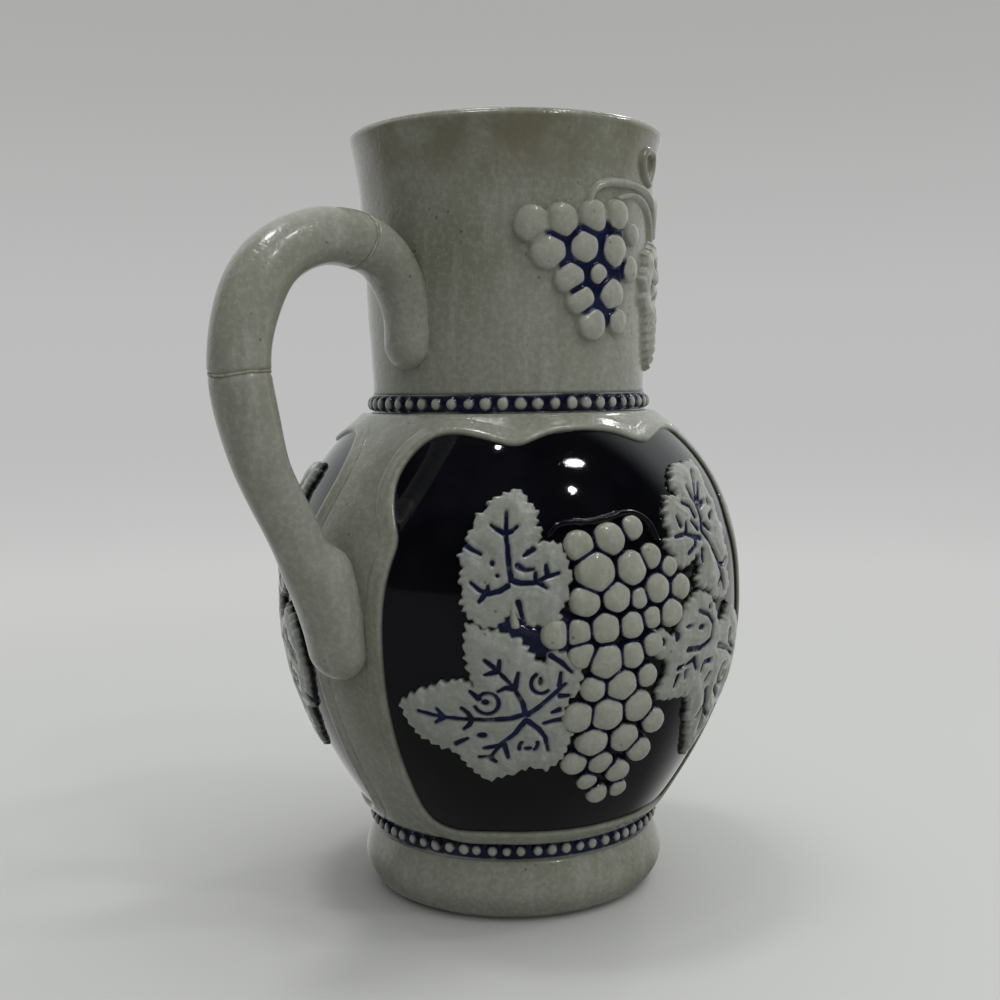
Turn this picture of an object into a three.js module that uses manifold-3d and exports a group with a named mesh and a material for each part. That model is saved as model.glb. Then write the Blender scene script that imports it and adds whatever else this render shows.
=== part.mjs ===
// Relief-moulded stoneware pitcher with a loop handle. Millimetres, +Z up.
// The origin is the centre of the flat base. The handle points to -X, the pouring lip to +X.
// The pot is luted together from thrown rings; its ornament is a set of thin pressed clay sprigs.
import * as THREE from "three";
import { mergeVertices } from "three/addons/utils/BufferGeometryUtils.js";
import Module from "manifold-3d";

const wasm = await Module();
wasm.setup();

// Pot: heights of the joints above the base
const FOOT_HEIGHT = 19;
const FOOT_BAND_HEIGHT = 6;
const BELLY_HEIGHT = 125;
const NECK_BAND_HEIGHT = 5.6;
const NECK_HEIGHT = 85.1;

// Pot: outside radii
const BASE_RADIUS = 41.7;
const FOOT_TOP_RADIUS = 44.6;
const FOOT_BULGE = 4.7;
const FOOT_BULGE_DROOP = 0.85;
const BELLY_FOOT_RADIUS = 46.5;
const BELLY_RADIUS = 72.1;
const BELLY_SHOULDER_RADIUS = 46.2;
const BELLY_WIDEST_SHARE = 0.535;
const LOWER_FULLNESS = 1.9;
const UPPER_FULLNESS = 2.6;
const NECK_RADIUS = 42.7;
const NECK_TAPER = 3.9;
const LIP_FLARE = 2.5;
const LIP_FLARE_POWER = 9;

// Pot: walls
const FOOT_FLOOR = 7;
const BELLY_WALL = 5;
const NECK_WALL = 4.8;
const RIM_THICKNESS = 3.4;
const WAIST_WALL = 4.6;
const BASE_BEVEL = 1.5;

// Pouring lip
const LIP_REACH = 9;
const LIP_HALF_ANGLE = 30;
const LIP_DEPTH = 42;

// Bead bands
const BAND_THICKNESS = 1.4;
const BEAD_PROUD = 1.7;
const FOOT_BEADS = 64;
const NECK_BEADS = 54;

// Handle: the run of its centreline and its oval section
const HANDLE_REACH = 104.2;
const HANDLE_REACH_HEIGHT = 167;
const HANDLE_CREST_HEIGHT = 199.5;
const HANDLE_TIP_RISE = 7.4;
const HANDLE_HEEL_HEIGHT = 76;
const HANDLE_WIDTH = 17.4;
const HANDLE_DEPTH = 16.2;
const HANDLE_TIP_WIDTH = 15.5;
const HANDLE_HEEL_WIDTH = 19.5;
const HANDLE_END_DEPTH = 11.5;
const HANDLE_END_LENGTH = 46;
const HANDLE_END_ROUND = 8;
const TIP_STANDOFF = 1;
const HEEL_STANDOFF = 1.5;
const HANDLE_SIDES = 14;
const HANDLE_STEPS = 34;
const UPPER_BREAK_SHARE = 0.225;
const LOWER_BREAK_SHARE = 0.543;

// Ornament: where the panels and the garland sit
const HANDLE_STRIP_ANGLE = 20;
const PANEL_STRIP_ANGLE = 3.5;
const PANEL_BOTTOM_GAP = 2.6;
const PANEL_TOP_GAP = 2.4;
const GARLAND_TURN = -9;
const GARLAND_STEP_ANGLE = 50;
const FRAME_WIDTH = 3.6;
const FRAME_CREST_WIDTH = 1.6;
const FRAME_PROUD = 1;
const FRAME_STEPS = 9;

// Ornament: sprigs
const LEAF_PROUD = 1.7;
const LEAF_EDGE_PROUD = 1.2;
const LEAF_EDGE_LIFT = 0.15;
const LEAF_HOLLOW = 0.65;
const LEAF_SHOULDER_SHARE = 0.55;
const BERRY_PROUD = 2.7;
const BERRY_VALLEY_PROUD = 0.9;
const BERRY_SHOULDER_PROUD = 2.35;
const BERRY_SHOULDER_SHARE = 0.62;
const BERRY_SIDES = 6;
const PANEL_BERRY = 7.8;
const PANEL_BUNCH_TOP_SHARE = 0.72;
const NECK_BERRY = 8.9;
const NECK_BUNCH_DROP = 29;
const NECK_LEAF_LENGTH = 24;
const NECK_LEAF_DROP = 46;
const NECK_LEAF_PROUD = 2.6;
const VINE_WIDTH = 3.2;
const VINE_PROUD = 1.3;
const VINE_STEPS = 13;
const TENDRIL_WIDTH = 2.2;
const TENDRIL_HEIGHT = 11;
const TENDRIL_SPREAD = 8.2;
const TENDRIL_PLACE = 11;

// Clearances
const SEAT_GAP = 0.3;
const GLUE_LINE = 0.3;

const POT_SEGMENTS = 40;
const DEGREE = Math.PI / 180;

const footBandTop = FOOT_HEIGHT + FOOT_BAND_HEIGHT;
const shoulderHeight = footBandTop + BELLY_HEIGHT;
const neckBandTop = shoulderHeight + NECK_BAND_HEIGHT;
const rimHeight = shoulderHeight + NECK_HEIGHT;
const handleTipHeight = neckBandTop + HANDLE_TIP_RISE;
const bellyWidestHeight = footBandTop + BELLY_WIDEST_SHARE * BELLY_HEIGHT;
const waistSeatRadius = FOOT_TOP_RADIUS - BAND_THICKNESS - SEAT_GAP;
const collarSeatRadius = NECK_RADIUS - SEAT_GAP / 2;
const panelHalfAngle = (360 - HANDLE_STRIP_ANGLE - 2 * PANEL_STRIP_ANGLE) / 6;
const panelPitchAngle = 2 * panelHalfAngle + PANEL_STRIP_ANGLE;
const waistInside = waistSeatRadius - WAIST_WALL;
const collarInside = collarSeatRadius - NECK_WALL;

// Outside radius of the foot: a straight taper with a half-wave bulge on it, fullest below the middle.
function footRadius(z) {
  const share = z / FOOT_HEIGHT;
  const bulge = FOOT_BULGE * Math.sin(Math.PI * share ** FOOT_BULGE_DROOP);
  return BASE_RADIUS + (FOOT_TOP_RADIUS - BASE_RADIUS) * share + bulge;
}

// Outside radius of the belly: two power curves that meet at its widest height.
function bellyRadius(z) {
  const lower = z < bellyWidestHeight;
  const end = lower ? footBandTop : shoulderHeight;
  const endRadius = lower ? BELLY_FOOT_RADIUS : BELLY_SHOULDER_RADIUS;
  const fullness = lower ? LOWER_FULLNESS : UPPER_FULLNESS;
  const away = Math.min(1, Math.abs((bellyWidestHeight - z) / (bellyWidestHeight - end)));
  return BELLY_RADIUS - (BELLY_RADIUS - endRadius) * away ** fullness;
}

// Outside radius of the neck: an even taper that turns out quickly at the rim.
function neckRadius(z) {
  const share = Math.max(0, (z - neckBandTop) / (rimHeight - neckBandTop));
  return NECK_RADIUS + NECK_TAPER * share + LIP_FLARE * share ** LIP_FLARE_POWER;
}

// How far the pulled lip carries the wall outwards at an azimuth and height.
function lipReach(azimuth, z) {
  const turn = Math.abs(azimuth) / LIP_HALF_ANGLE;
  const rise = (z - rimHeight + LIP_DEPTH) / LIP_DEPTH;
  if (turn >= 1 || rise <= 0) {
    return 0;
  }
  return LIP_REACH * Math.cos((turn * Math.PI) / 2) ** 2 * rise ** 2;
}

// Outside radius of the neck with the pulled lip, at a height and an azimuth in degrees.
function neckWall(z, azimuth) {
  return neckRadius(z) + lipReach(azimuth, z);
}

// Slope of a wall: change of radius for each millimetre of height.
function slopeOf(radiusAt, z) {
  const step = 0.01;
  return (radiusAt(z + step) - radiusAt(z - step)) / (2 * step);
}

// A profile point that lies a distance outside the wall, along the wall's own normal.
function offsetPoint(radiusAt, z, proud) {
  const slope = slopeOf(radiusAt, z);
  const across = 1 / Math.hypot(1, slope);
  return new THREE.Vector2(radiusAt(z) + proud * across, z - proud * slope * across);
}

// A point on the pot at an azimuth in degrees.
function wallPoint(radiusAt, azimuth, z, proud) {
  const p = offsetPoint((height) => radiusAt(height, azimuth), z, proud);
  const angle = azimuth * DEGREE;
  return new THREE.Vector3(p.x * Math.cos(angle), p.x * Math.sin(angle), p.y);
}

// Height reached by walking a distance up the wall from a height.
function climb(radiusAt, z, distance) {
  const steps = 8;
  let height = z;
  for (let i = 0; i < steps; i++) {
    height += distance / steps / Math.hypot(1, slopeOf(radiusAt, height));
  }
  return height;
}

// The value at a share of the way from one to another.
function along(from, to, share) {
  return from + (to - from) * share;
}

// Evenly spaced heights from one to another, both ends included.
function heights(from, to, steps) {
  return Array.from({ length: steps + 1 }, (_, i) => along(from, to, i / steps));
}

function geometryFrom(points, triangles) {
  const geometry = new THREE.BufferGeometry().setFromPoints(points);
  geometry.setIndex(triangles);
  geometry.computeVertexNormals();
  return geometry;
}

function turned(profile) {
  const geometry = new THREE.LatheGeometry(profile, POT_SEGMENTS);
  geometry.rotateX(Math.PI / 2);
  return geometry;
}

function solidOf(geometry) {
  const bare = geometry.clone();
  bare.deleteAttribute("normal");
  bare.deleteAttribute("uv");
  const merged = mergeVertices(bare, 1e-4);
  return new wasm.Manifold(
    new wasm.Mesh({
      numProp: 3,
      vertProperties: merged.attributes.position.array,
      triVerts: new Uint32Array(merged.index.array),
    }),
  );
}

function geometryOf(solid) {
  const mesh = solid.getMesh();
  const geometry = new THREE.BufferGeometry();
  geometry.setAttribute("position", new THREE.BufferAttribute(mesh.vertProperties, 3));
  geometry.setIndex(new THREE.BufferAttribute(mesh.triVerts, 1));
  geometry.computeVertexNormals();
  return geometry;
}

// Skins a row of rings with the same number of points. A loop joins its last ring to its first;
// otherwise each end is closed with a fan from its end point, which is the ring's middle if none is given.
function skin(rings, { loop = false, ends } = {}) {
  const sides = rings[0].length;
  const points = rings.flat();
  const triangles = [];
  const spans = loop ? rings.length : rings.length - 1;
  for (let i = 0; i < spans; i++) {
    const here = i * sides;
    const next = ((i + 1) % rings.length) * sides;
    for (let j = 0; j < sides; j++) {
      const k = (j + 1) % sides;
      triangles.push(here + j, here + k, next + k, here + j, next + k, next + j);
    }
  }
  if (!loop) {
    const last = (rings.length - 1) * sides;
    const middle = (ring) =>
      ring.reduce((sum, p) => sum.add(p), new THREE.Vector3()).divideScalar(sides);
    points.push(...(ends || [middle(rings[0]), middle(rings[rings.length - 1])]));
    for (let j = 0; j < sides; j++) {
      const k = (j + 1) % sides;
      triangles.push(points.length - 2, k, j, points.length - 1, last + j, last + k);
    }
  }
  return geometryFrom(points, triangles);
}

function foot() {
  const outside = heights(BASE_BEVEL, FOOT_HEIGHT, 6).map((z) => new THREE.Vector2(footRadius(z), z));
  const inside = heights(FOOT_HEIGHT, FOOT_FLOOR, 2).map(
    (z) => new THREE.Vector2(waistInside + (footRadius(z) - FOOT_TOP_RADIUS) / 2, z),
  );
  return turned([
    new THREE.Vector2(0, 0),
    new THREE.Vector2(BASE_RADIUS - BASE_BEVEL, 0),
    ...outside,
    ...inside,
    new THREE.Vector2(0, FOOT_FLOOR),
  ]);
}

function belly() {
  const outside = heights(footBandTop, shoulderHeight, 13).map((z) => new THREE.Vector2(bellyRadius(z), z));
  const inside = heights(shoulderHeight - BELLY_WALL, footBandTop + BELLY_WALL, 7).map((z) =>
    offsetPoint(bellyRadius, z, -BELLY_WALL),
  );
  return turned([
    new THREE.Vector2(waistInside, FOOT_HEIGHT),
    new THREE.Vector2(waistSeatRadius, FOOT_HEIGHT),
    new THREE.Vector2(waistSeatRadius, footBandTop),
    ...outside,
    new THREE.Vector2(collarInside, shoulderHeight),
    new THREE.Vector2(collarInside, shoulderHeight - BELLY_WALL),
    ...inside,
    new THREE.Vector2(waistInside, FOOT_HEIGHT),
  ]);
}

// Bends the wall of the neck outwards into the pouring lip.
function pullLip(geometry) {
  const position = geometry.attributes.position;
  for (let i = 0; i < position.count; i++) {
    const [x, y, z] = [position.getX(i), position.getY(i), position.getZ(i)];
    const angle = Math.atan2(y, x);
    const radius = Math.hypot(x, y) + lipReach(angle / DEGREE, z);
    position.setXYZ(i, radius * Math.cos(angle), radius * Math.sin(angle), z);
  }
  geometry.computeVertexNormals();
  return geometry;
}

function neck() {
  const half = RIM_THICKNESS / 2;
  const outside = heights(neckBandTop, rimHeight - half, 7).map((z) => new THREE.Vector2(neckRadius(z), z));
  const rimMiddle = neckRadius(rimHeight - half) - half;
  const rim = [45, 90, 135].map(
    (angle) =>
      new THREE.Vector2(
        rimMiddle + half * Math.cos(angle * DEGREE),
        rimHeight - half + half * Math.sin(angle * DEGREE),
      ),
  );
  const inside = heights(rimHeight - half, neckBandTop, 4).map(
    (z) => new THREE.Vector2(Math.min(rimMiddle - half, neckRadius(z) - NECK_WALL), z),
  );
  return pullLip(
    turned([
      new THREE.Vector2(collarInside, shoulderHeight),
      new THREE.Vector2(collarSeatRadius - BAND_THICKNESS, shoulderHeight),
      new THREE.Vector2(collarSeatRadius - BAND_THICKNESS, neckBandTop),
      ...outside,
      ...rim,
      ...inside,
      new THREE.Vector2(collarInside, shoulderHeight),
    ]),
  );
}

// A strip of beads: its face rises to a bead and falls to the strip between beads, all the way round.
function beadBand(seatRadius, bottom, top, beads) {
  const inner = seatRadius + SEAT_GAP;
  const face = inner + BAND_THICKNESS;
  const rings = [];
  for (let i = 0; i < beads * 2; i++) {
    const angle = (i * Math.PI) / beads;
    const crest = face + (i % 2 ? 0 : BEAD_PROUD);
    const section = [
      [inner, bottom],
      [face, bottom],
      [crest, (bottom + top) / 2],
      [face, top],
      [inner, top],
    ];
    rings.push(section.map(([r, z]) => new THREE.Vector3(r * Math.cos(angle), r * Math.sin(angle), z)));
  }
  return skin(rings.reverse(), { loop: true });
}

// Points that the arch passes: share of the way out from the tip to the reach, and share of the rise.
const ARCH_RUN = [
  [0, 0],
  [0, 0.5],
  [0.17, 0.9],
  [0.52, 1],
  [0.85, 0.73],
];
// Points that the lower limb passes: share of the way in from the reach to the heel, and share of the drop.
const LIMB_RUN = [
  [0, 0],
  [0.16, 0.275],
  [0.565, 0.55],
  [0.875, 0.81],
  [1, 1],
];

// Centreline of the handle in its own plane: x is the distance from the pot's axis.
const tipRadius = neckRadius(handleTipHeight) + TIP_STANDOFF;
const heelRadius = bellyRadius(HANDLE_HEEL_HEIGHT) + HEEL_STANDOFF;
const handlePoints = [
  ...ARCH_RUN.map(([out, up]) => [
    along(tipRadius, HANDLE_REACH, out),
    along(handleTipHeight, HANDLE_CREST_HEIGHT, up),
  ]),
  ...LIMB_RUN.map(([back, down]) => [
    along(HANDLE_REACH, heelRadius, back),
    along(HANDLE_REACH_HEIGHT, HANDLE_HEEL_HEIGHT, down),
  ]),
];
const handleCurve = new THREE.CatmullRomCurve3(
  handlePoints.map(([x, z]) => new THREE.Vector3(-x, 0, z)),
  false,
  "centripetal",
);

// Half sizes of the handle's section: it flattens towards its two luted ends and is rounded off over them.
function handleSection(share) {
  const fromTip = share * handleCurve.getLength();
  const fromHeel = handleCurve.getLength() - fromTip;
  const fromEnd = Math.min(fromTip, fromHeel);
  const endWidth = fromTip < fromHeel ? HANDLE_TIP_WIDTH : HANDLE_HEEL_WIDTH;
  const full = Math.min(1, fromEnd / HANDLE_END_LENGTH);
  const round = Math.sqrt(Math.min(1, (fromEnd + 1) / (HANDLE_END_ROUND + 1))) / 2;
  return {
    width: along(endWidth, HANDLE_WIDTH, full) * round,
    depth: along(HANDLE_END_DEPTH, HANDLE_DEPTH, full) * round,
  };
}

function handlePiece(from, to) {
  const steps = Math.round(HANDLE_STEPS * (to - from));
  const rings = heights(from, to, steps).map((share) => {
    const middle = handleCurve.getPointAt(share);
    const tangent = handleCurve.getTangentAt(share);
    const outward = new THREE.Vector3(tangent.z, 0, -tangent.x);
    const { width, depth } = handleSection(share);
    return Array.from({ length: HANDLE_SIDES }, (_, i) => {
      const angle = (2 * Math.PI * i) / HANDLE_SIDES;
      return middle
        .clone()
        .addScaledVector(outward, depth * Math.cos(angle))
        .add(new THREE.Vector3(0, width * Math.sin(angle), 0));
    });
  });
  return skin(rings);
}

// A solid of revolution that fills the pot up to its outside and the seat gap around it.
function potFill(radiusAt, from, to) {
  return solidOf(
    turned([
      new THREE.Vector2(0, from),
      ...heights(from, to, 15).map((z) => new THREE.Vector2(offsetPoint(radiusAt, z, SEAT_GAP).x, z)),
      new THREE.Vector2(0, to),
    ]),
  );
}

function handleNeckEnd() {
  const halfGlue = GLUE_LINE / 2 / handleCurve.getLength();
  const piece = solidOf(handlePiece(0, UPPER_BREAK_SHARE - halfGlue));
  return geometryOf(piece.subtract(potFill(neckRadius, neckBandTop, rimHeight)));
}

function handleBow() {
  const halfGlue = GLUE_LINE / 2 / handleCurve.getLength();
  return handlePiece(UPPER_BREAK_SHARE + halfGlue, LOWER_BREAK_SHARE - halfGlue);
}

function handleLowerLimb() {
  const halfGlue = GLUE_LINE / 2 / handleCurve.getLength();
  const piece = solidOf(handlePiece(LOWER_BREAK_SHARE + halfGlue, 1));
  return geometryOf(piece.subtract(potFill(bellyRadius, footBandTop, shoulderHeight)));
}

// Outline of a panel's right half, from its top middle to its bottom middle: share of the half angle, and
// share of the panel's height. Each row is one smooth stretch; the rows meet in cusps.
const PANEL_STRETCHES = [
  [[0, 1], [0.25, 0.994], [0.46, 0.97]],
  [[0.46, 0.97], [0.63, 0.99], [0.81, 0.994], [0.95, 0.966], [0.995, 0.91], [0.985, 0.82], [0.94, 0.727]],
  [[0.94, 0.727], [0.975, 0.65], [1, 0.55], [0.98, 0.44]],
  [[0.98, 0.44], [0.99, 0.3], [0.985, 0.16], [0.96, 0.05], [0.86, 0.01], [0.5, 0.004], [0, 0]],
];
const panelBottom = footBandTop + PANEL_BOTTOM_GAP;
const panelTop = shoulderHeight - PANEL_TOP_GAP;
const panelHeight = (share) => panelBottom + share * (panelTop - panelBottom);

function panelFrame(middle) {
  const half = PANEL_STRETCHES.flatMap((stretch) => {
    const curve = new THREE.SplineCurve(stretch.map(([x, y]) => new THREE.Vector2(x, y)));
    return curve.getPoints(Math.round(FRAME_STEPS * curve.getLength())).slice(1);
  });
  const otherHalf = half.slice(0, -1).map((p) => new THREE.Vector2(-p.x, p.y));
  const loop = [...half, ...otherHalf.reverse(), new THREE.Vector2(0, 1)];
  const place = (p) => [middle + p.x * panelHalfAngle, panelHeight(p.y)];
  const surface = loop.map((p) => wallPoint(bellyRadius, ...place(p), 0));
  const rings = loop.map((p, i) => {
    const [azimuth, z] = place(p);
    const before = surface[(i + loop.length - 1) % loop.length];
    const after = surface[(i + 1) % loop.length];
    const onward = after.clone().sub(before).normalize();
    const out = wallPoint(bellyRadius, azimuth, z, 1).sub(surface[i]).normalize();
    const across = onward.clone().cross(out).normalize();
    const corner = (side, proud) =>
      surface[i].clone().addScaledVector(across, side).addScaledVector(out, SEAT_GAP + proud);
    return [
      corner(FRAME_WIDTH / 2, 0),
      corner(-FRAME_WIDTH / 2, 0),
      corner(-FRAME_CREST_WIDTH / 2, FRAME_PROUD),
      corner(FRAME_CREST_WIDTH / 2, FRAME_PROUD),
    ];
  });
  return skin(rings, { loop: true });
}

// Carries a flat sprig onto the wall: x runs to the right round the pot, y runs up the wall.
function layer(radiusAt, azimuth, height) {
  return (x, y, proud) => {
    const z = climb((at) => radiusAt(at, azimuth), height, y);
    return wallPoint(radiusAt, azimuth + x / radiusAt(z, azimuth) / DEGREE, z, SEAT_GAP + proud);
  };
}

// Lobes of a vine leaf: direction from the tip, and reach as a share of the tip's.
const EVEN_LOBES = [
  [-128, 0.52],
  [-72, 0.7],
  [0, 1],
  [72, 0.7],
  [128, 0.52],
];
const SPREAD_LOBES = [
  [-125, 0.56],
  [-52, 0.8],
  [0, 1],
  [66, 0.58],
  [122, 0.47],
];
const LOBE_HALF_ANGLE = 16;
const LOBE_SHOULDER = 0.84;
const SINUS_REACH = 0.52;
const STALK_SINUS_REACH = 0.28;

function leafOutline(lobes, length) {
  const outline = [];
  lobes.forEach(([angle, reach], i) => {
    outline.push([angle - LOBE_HALF_ANGLE, reach * LOBE_SHOULDER]);
    outline.push([angle, reach]);
    outline.push([angle + LOBE_HALF_ANGLE, reach * LOBE_SHOULDER]);
    const next = lobes[i + 1];
    outline.push(next ? [(angle + next[0]) / 2, SINUS_REACH] : [180, STALK_SINUS_REACH]);
  });
  return outline.map(([angle, reach]) => {
    const turn = (angle + 90) * DEGREE;
    return new THREE.Vector2(length * reach * Math.cos(turn), length * reach * Math.sin(turn));
  });
}

// A vine leaf as a thin domed slab. Its rings run from the middle of its back, round the edge, to the
// middle of its face; the back is hollowed a little, so that it spans the curve of the wall.
function leaf(onPot, lobes, length, turn, stretch, proud = LEAF_PROUD) {
  const outline = leafOutline(lobes, length).map((p) => {
    p.x *= stretch;
    return p.rotateAround(new THREE.Vector2(), turn * DEGREE);
  });
  const ring = (share, height) => outline.map((p) => onPot(p.x * share, p.y * share, height));
  const back = [ring(LEAF_SHOULDER_SHARE, LEAF_HOLLOW), ring(1, LEAF_EDGE_LIFT)];
  const rings = [...back, ring(1, LEAF_EDGE_PROUD), ring(LEAF_SHOULDER_SHARE, proud)];
  return skin(rings, { ends: [onPot(0, 0, LEAF_HOLLOW), onPot(0, 0, (proud + LEAF_EDGE_PROUD) / 2)] });
}

// Rows of a bunch from the top: place of the first berry in half berries from the middle, and how many.
const PANEL_BUNCH_ROWS = [
  [-2, 3],
  [-1, 3],
  [-2, 4],
  [-3, 4],
  [-2, 3],
  [-1, 3],
  [-2, 3],
  [-1, 3],
  [-2, 3],
  [-1, 2],
  [-2, 2],
  [-1, 1],
];
const NECK_BUNCH_ROWS = [
  [-3, 4],
  [-2, 3],
  [-1, 3],
  [0, 2],
  [1, 2],
];

// A bunch of grapes: one six-sided dome for each berry, packed like a honeycomb.
// Neighbouring berries share the corners of the valley between them.
function bunch(onPot, berry, rows) {
  const points = [];
  const triangles = [];
  const corners = new Map();
  const edges = new Map();
  const corner = (x, y) => {
    const key = `${Math.round(x * 100)},${Math.round(y * 100)}`;
    if (!corners.has(key)) {
      corners.set(key, points.length);
      points.push(onPot(x, y, BERRY_VALLEY_PROUD), onPot(x, y, 0));
    }
    return corners.get(key);
  };
  rows.forEach(([start, count], row) => {
    for (let column = 0; column < count; column++) {
      const x = (start / 2 + column) * berry;
      const y = -row * berry * Math.sqrt(0.75);
      const around = Array.from({ length: BERRY_SIDES }, (_, i) => {
        const angle = ((i + 0.5) * 2 * Math.PI) / BERRY_SIDES;
        return [x + (berry / Math.sqrt(3)) * Math.cos(angle), y + (berry / Math.sqrt(3)) * Math.sin(angle)];
      });
      const valley = around.map(([px, py]) => corner(px, py));
      const shoulder = points.length;
      for (const [px, py] of around) {
        const [sx, sy] = [along(x, px, BERRY_SHOULDER_SHARE), along(y, py, BERRY_SHOULDER_SHARE)];
        points.push(onPot(sx, sy, BERRY_SHOULDER_PROUD));
      }
      const top = points.length;
      points.push(onPot(x, y, BERRY_PROUD), onPot(x, y, 0));
      for (let i = 0; i < BERRY_SIDES; i++) {
        const k = (i + 1) % BERRY_SIDES;
        triangles.push(valley[i], valley[k], shoulder + k, valley[i], shoulder + k, shoulder + i);
        triangles.push(shoulder + i, shoulder + k, top, valley[k] + 1, valley[i] + 1, top + 1);
        const edge = [valley[i], valley[k]];
        const name = [...edge].sort((a, b) => a - b).join();
        if (!edges.delete(name)) {
          edges.set(name, edge);
        }
      }
    }
  });
  for (const [a, b] of edges.values()) {
    triangles.push(a, a + 1, b + 1, a, b + 1, b);
  }
  return geometryFrom(points, triangles);
}

// A rounded rod pressed onto the wall along a path of flat sprig points.
function rod(onPot, path, width, proud, loop = false) {
  const sections = loop ? path.slice(0, -1) : path;
  const count = sections.length;
  const rings = sections.map((p, i) => {
    const before = sections[loop ? (i + count - 1) % count : Math.max(0, i - 1)];
    const after = sections[loop ? (i + 1) % count : Math.min(count - 1, i + 1)];
    const across = after.clone().sub(before).normalize().rotateAround(new THREE.Vector2(), Math.PI / 2);
    const at = (side, up) => onPot(p.x + across.x * side, p.y + across.y * side, up);
    return [
      at(-width / 2, 0),
      at(width / 2, 0),
      at(width / 2, proud / 2),
      at(width / 4, proud),
      at(-width / 4, proud),
      at(-width / 2, proud / 2),
    ];
  });
  return skin(rings, { loop });
}

// Points that a vine passes: share of the way from the leaf out to the bunch, and share of the bunch's top.
const VINE_RUN = [
  [0.94, 0.98],
  [0.72, 1.07],
  [0.45, 1.05],
  [0.22, 0.88],
  [0.065, 0.42],
];
const vineHeight = NECK_LEAF_DROP - NECK_BUNCH_DROP + NECK_BERRY;

// A length of vine from the top of a bunch over to the top of the leaf beside it. The place is the leaf's;
// side is -1 for the bunch on its left and 1 for the one on its right.
function vine(onPot, side) {
  const toBunch = GARLAND_STEP_ANGLE * DEGREE * neckRadius(rimHeight - NECK_BUNCH_DROP);
  const run = VINE_RUN.map(([out, up]) => new THREE.Vector2(out * toBunch, up * vineHeight));
  const curve = new THREE.SplineCurve(run);
  const path = curve.getPoints(VINE_STEPS).map((p) => new THREE.Vector2(side * p.x, p.y));
  return rod(onPot, path, VINE_WIDTH, VINE_PROUD);
}

// A tendril: an upright loop that stands on the vine.
function tendril(onPot, side) {
  const bottom = vineHeight + VINE_WIDTH / 2;
  const loop = new THREE.EllipseCurve(
    side * TENDRIL_PLACE,
    bottom + TENDRIL_HEIGHT / 2,
    (TENDRIL_SPREAD - TENDRIL_WIDTH) / 2,
    (TENDRIL_HEIGHT - TENDRIL_WIDTH) / 2,
  );
  return rod(onPot, loop.getPoints(12), TENDRIL_WIDTH, VINE_PROUD, true);
}

const GREY_GLAZE = { color: 0x8b8f80, roughness: 0.35, metalness: 0 };
const COBALT_GLAZE = { color: 0x1c2550, roughness: 0.2, metalness: 0 };

const pitcher = new THREE.Group();

function add(name, geometry, glaze = GREY_GLAZE) {
  const mesh = new THREE.Mesh(geometry, new THREE.MeshStandardMaterial(glaze));
  mesh.name = name;
  pitcher.add(mesh);
}

add("foot", foot());
add("foot_bead_band", beadBand(waistSeatRadius, FOOT_HEIGHT, footBandTop, FOOT_BEADS), COBALT_GLAZE);
add("belly", belly());
const collarFace = collarSeatRadius - BAND_THICKNESS;
add("neck_bead_band", beadBand(collarFace, shoulderHeight, neckBandTop, NECK_BEADS), COBALT_GLAZE);
add("neck", neck());
add("handle_neck_end", handleNeckEnd());
add("handle_bow", handleBow());
add("handle_lower_limb", handleLowerLimb());

// Leaves of one panel: name, lobes, place as shares of the panel's half angle and of its height,
// length, turn and stretch
const PANEL_LEAVES = [
  ["leaf_upper_left", EVEN_LOBES, -0.44, 0.664, 24, 0, 0.87],
  ["leaf_upper_right", EVEN_LOBES, 0.49, 0.7, 26, -25, 0.85],
  ["leaf_lower_left", SPREAD_LOBES, -0.385, 0.345, 34.5, 84, 1],
  ["leaf_lower_right", EVEN_LOBES, 0.555, 0.47, 31, 196, 0.85],
];
const PANELS = [
  ["right_panel", -panelPitchAngle],
  ["front_panel", 0],
  ["left_panel", panelPitchAngle],
];
for (const [panel, middle] of PANELS) {
  add(`${panel}_frame`, panelFrame(middle));
  const bunchPlace = layer(bellyRadius, middle, panelHeight(PANEL_BUNCH_TOP_SHARE));
  add(`${panel}_grape_bunch`, bunch(bunchPlace, PANEL_BERRY, PANEL_BUNCH_ROWS));
  for (const [name, lobes, across, share, length, turn, stretch] of PANEL_LEAVES) {
    const place = layer(bellyRadius, middle + across * panelHalfAngle, panelHeight(share));
    add(`${panel}_${name}`, leaf(place, lobes, length, turn, stretch));
  }
}

// The garland round the neck: bunches and hanging leaves in turn, tied by lengths of vine.
const NECK_BUNCHES = [
  ["neck_bunch_right", -2],
  ["neck_bunch_front", 0],
  ["neck_bunch_left", 2],
];
const NECK_LEAVES = [
  ["right", -1],
  ["left", 1],
];
for (const [name, steps] of NECK_BUNCHES) {
  const place = layer(neckWall, GARLAND_TURN + steps * GARLAND_STEP_ANGLE, rimHeight - NECK_BUNCH_DROP);
  add(name, bunch(place, NECK_BERRY, NECK_BUNCH_ROWS));
}
for (const [name, side] of NECK_LEAVES) {
  const place = layer(neckWall, GARLAND_TURN + side * GARLAND_STEP_ANGLE, rimHeight - NECK_LEAF_DROP);
  add(`neck_leaf_${name}`, leaf(place, EVEN_LOBES, NECK_LEAF_LENGTH, 180, 0.75, NECK_LEAF_PROUD));
  add(`neck_vine_${name}_back`, vine(place, side));
  add(`neck_vine_${name}_front`, vine(place, -side));
  add(`neck_tendril_${name}`, tendril(place, side));
}

export default pitcher;
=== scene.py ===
"""Looks of the relief-moulded stoneware pitcher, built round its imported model.

Sizes are in millimetres unless a name says otherwise; build_mesh turns them into metres.
Azimuths are in degrees round the pot's axis, 0 at the pouring lip and 180 at the handle.
"""

import math

import bpy
import numpy as np
from mathutils import Matrix, Quaternion, Vector


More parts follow.
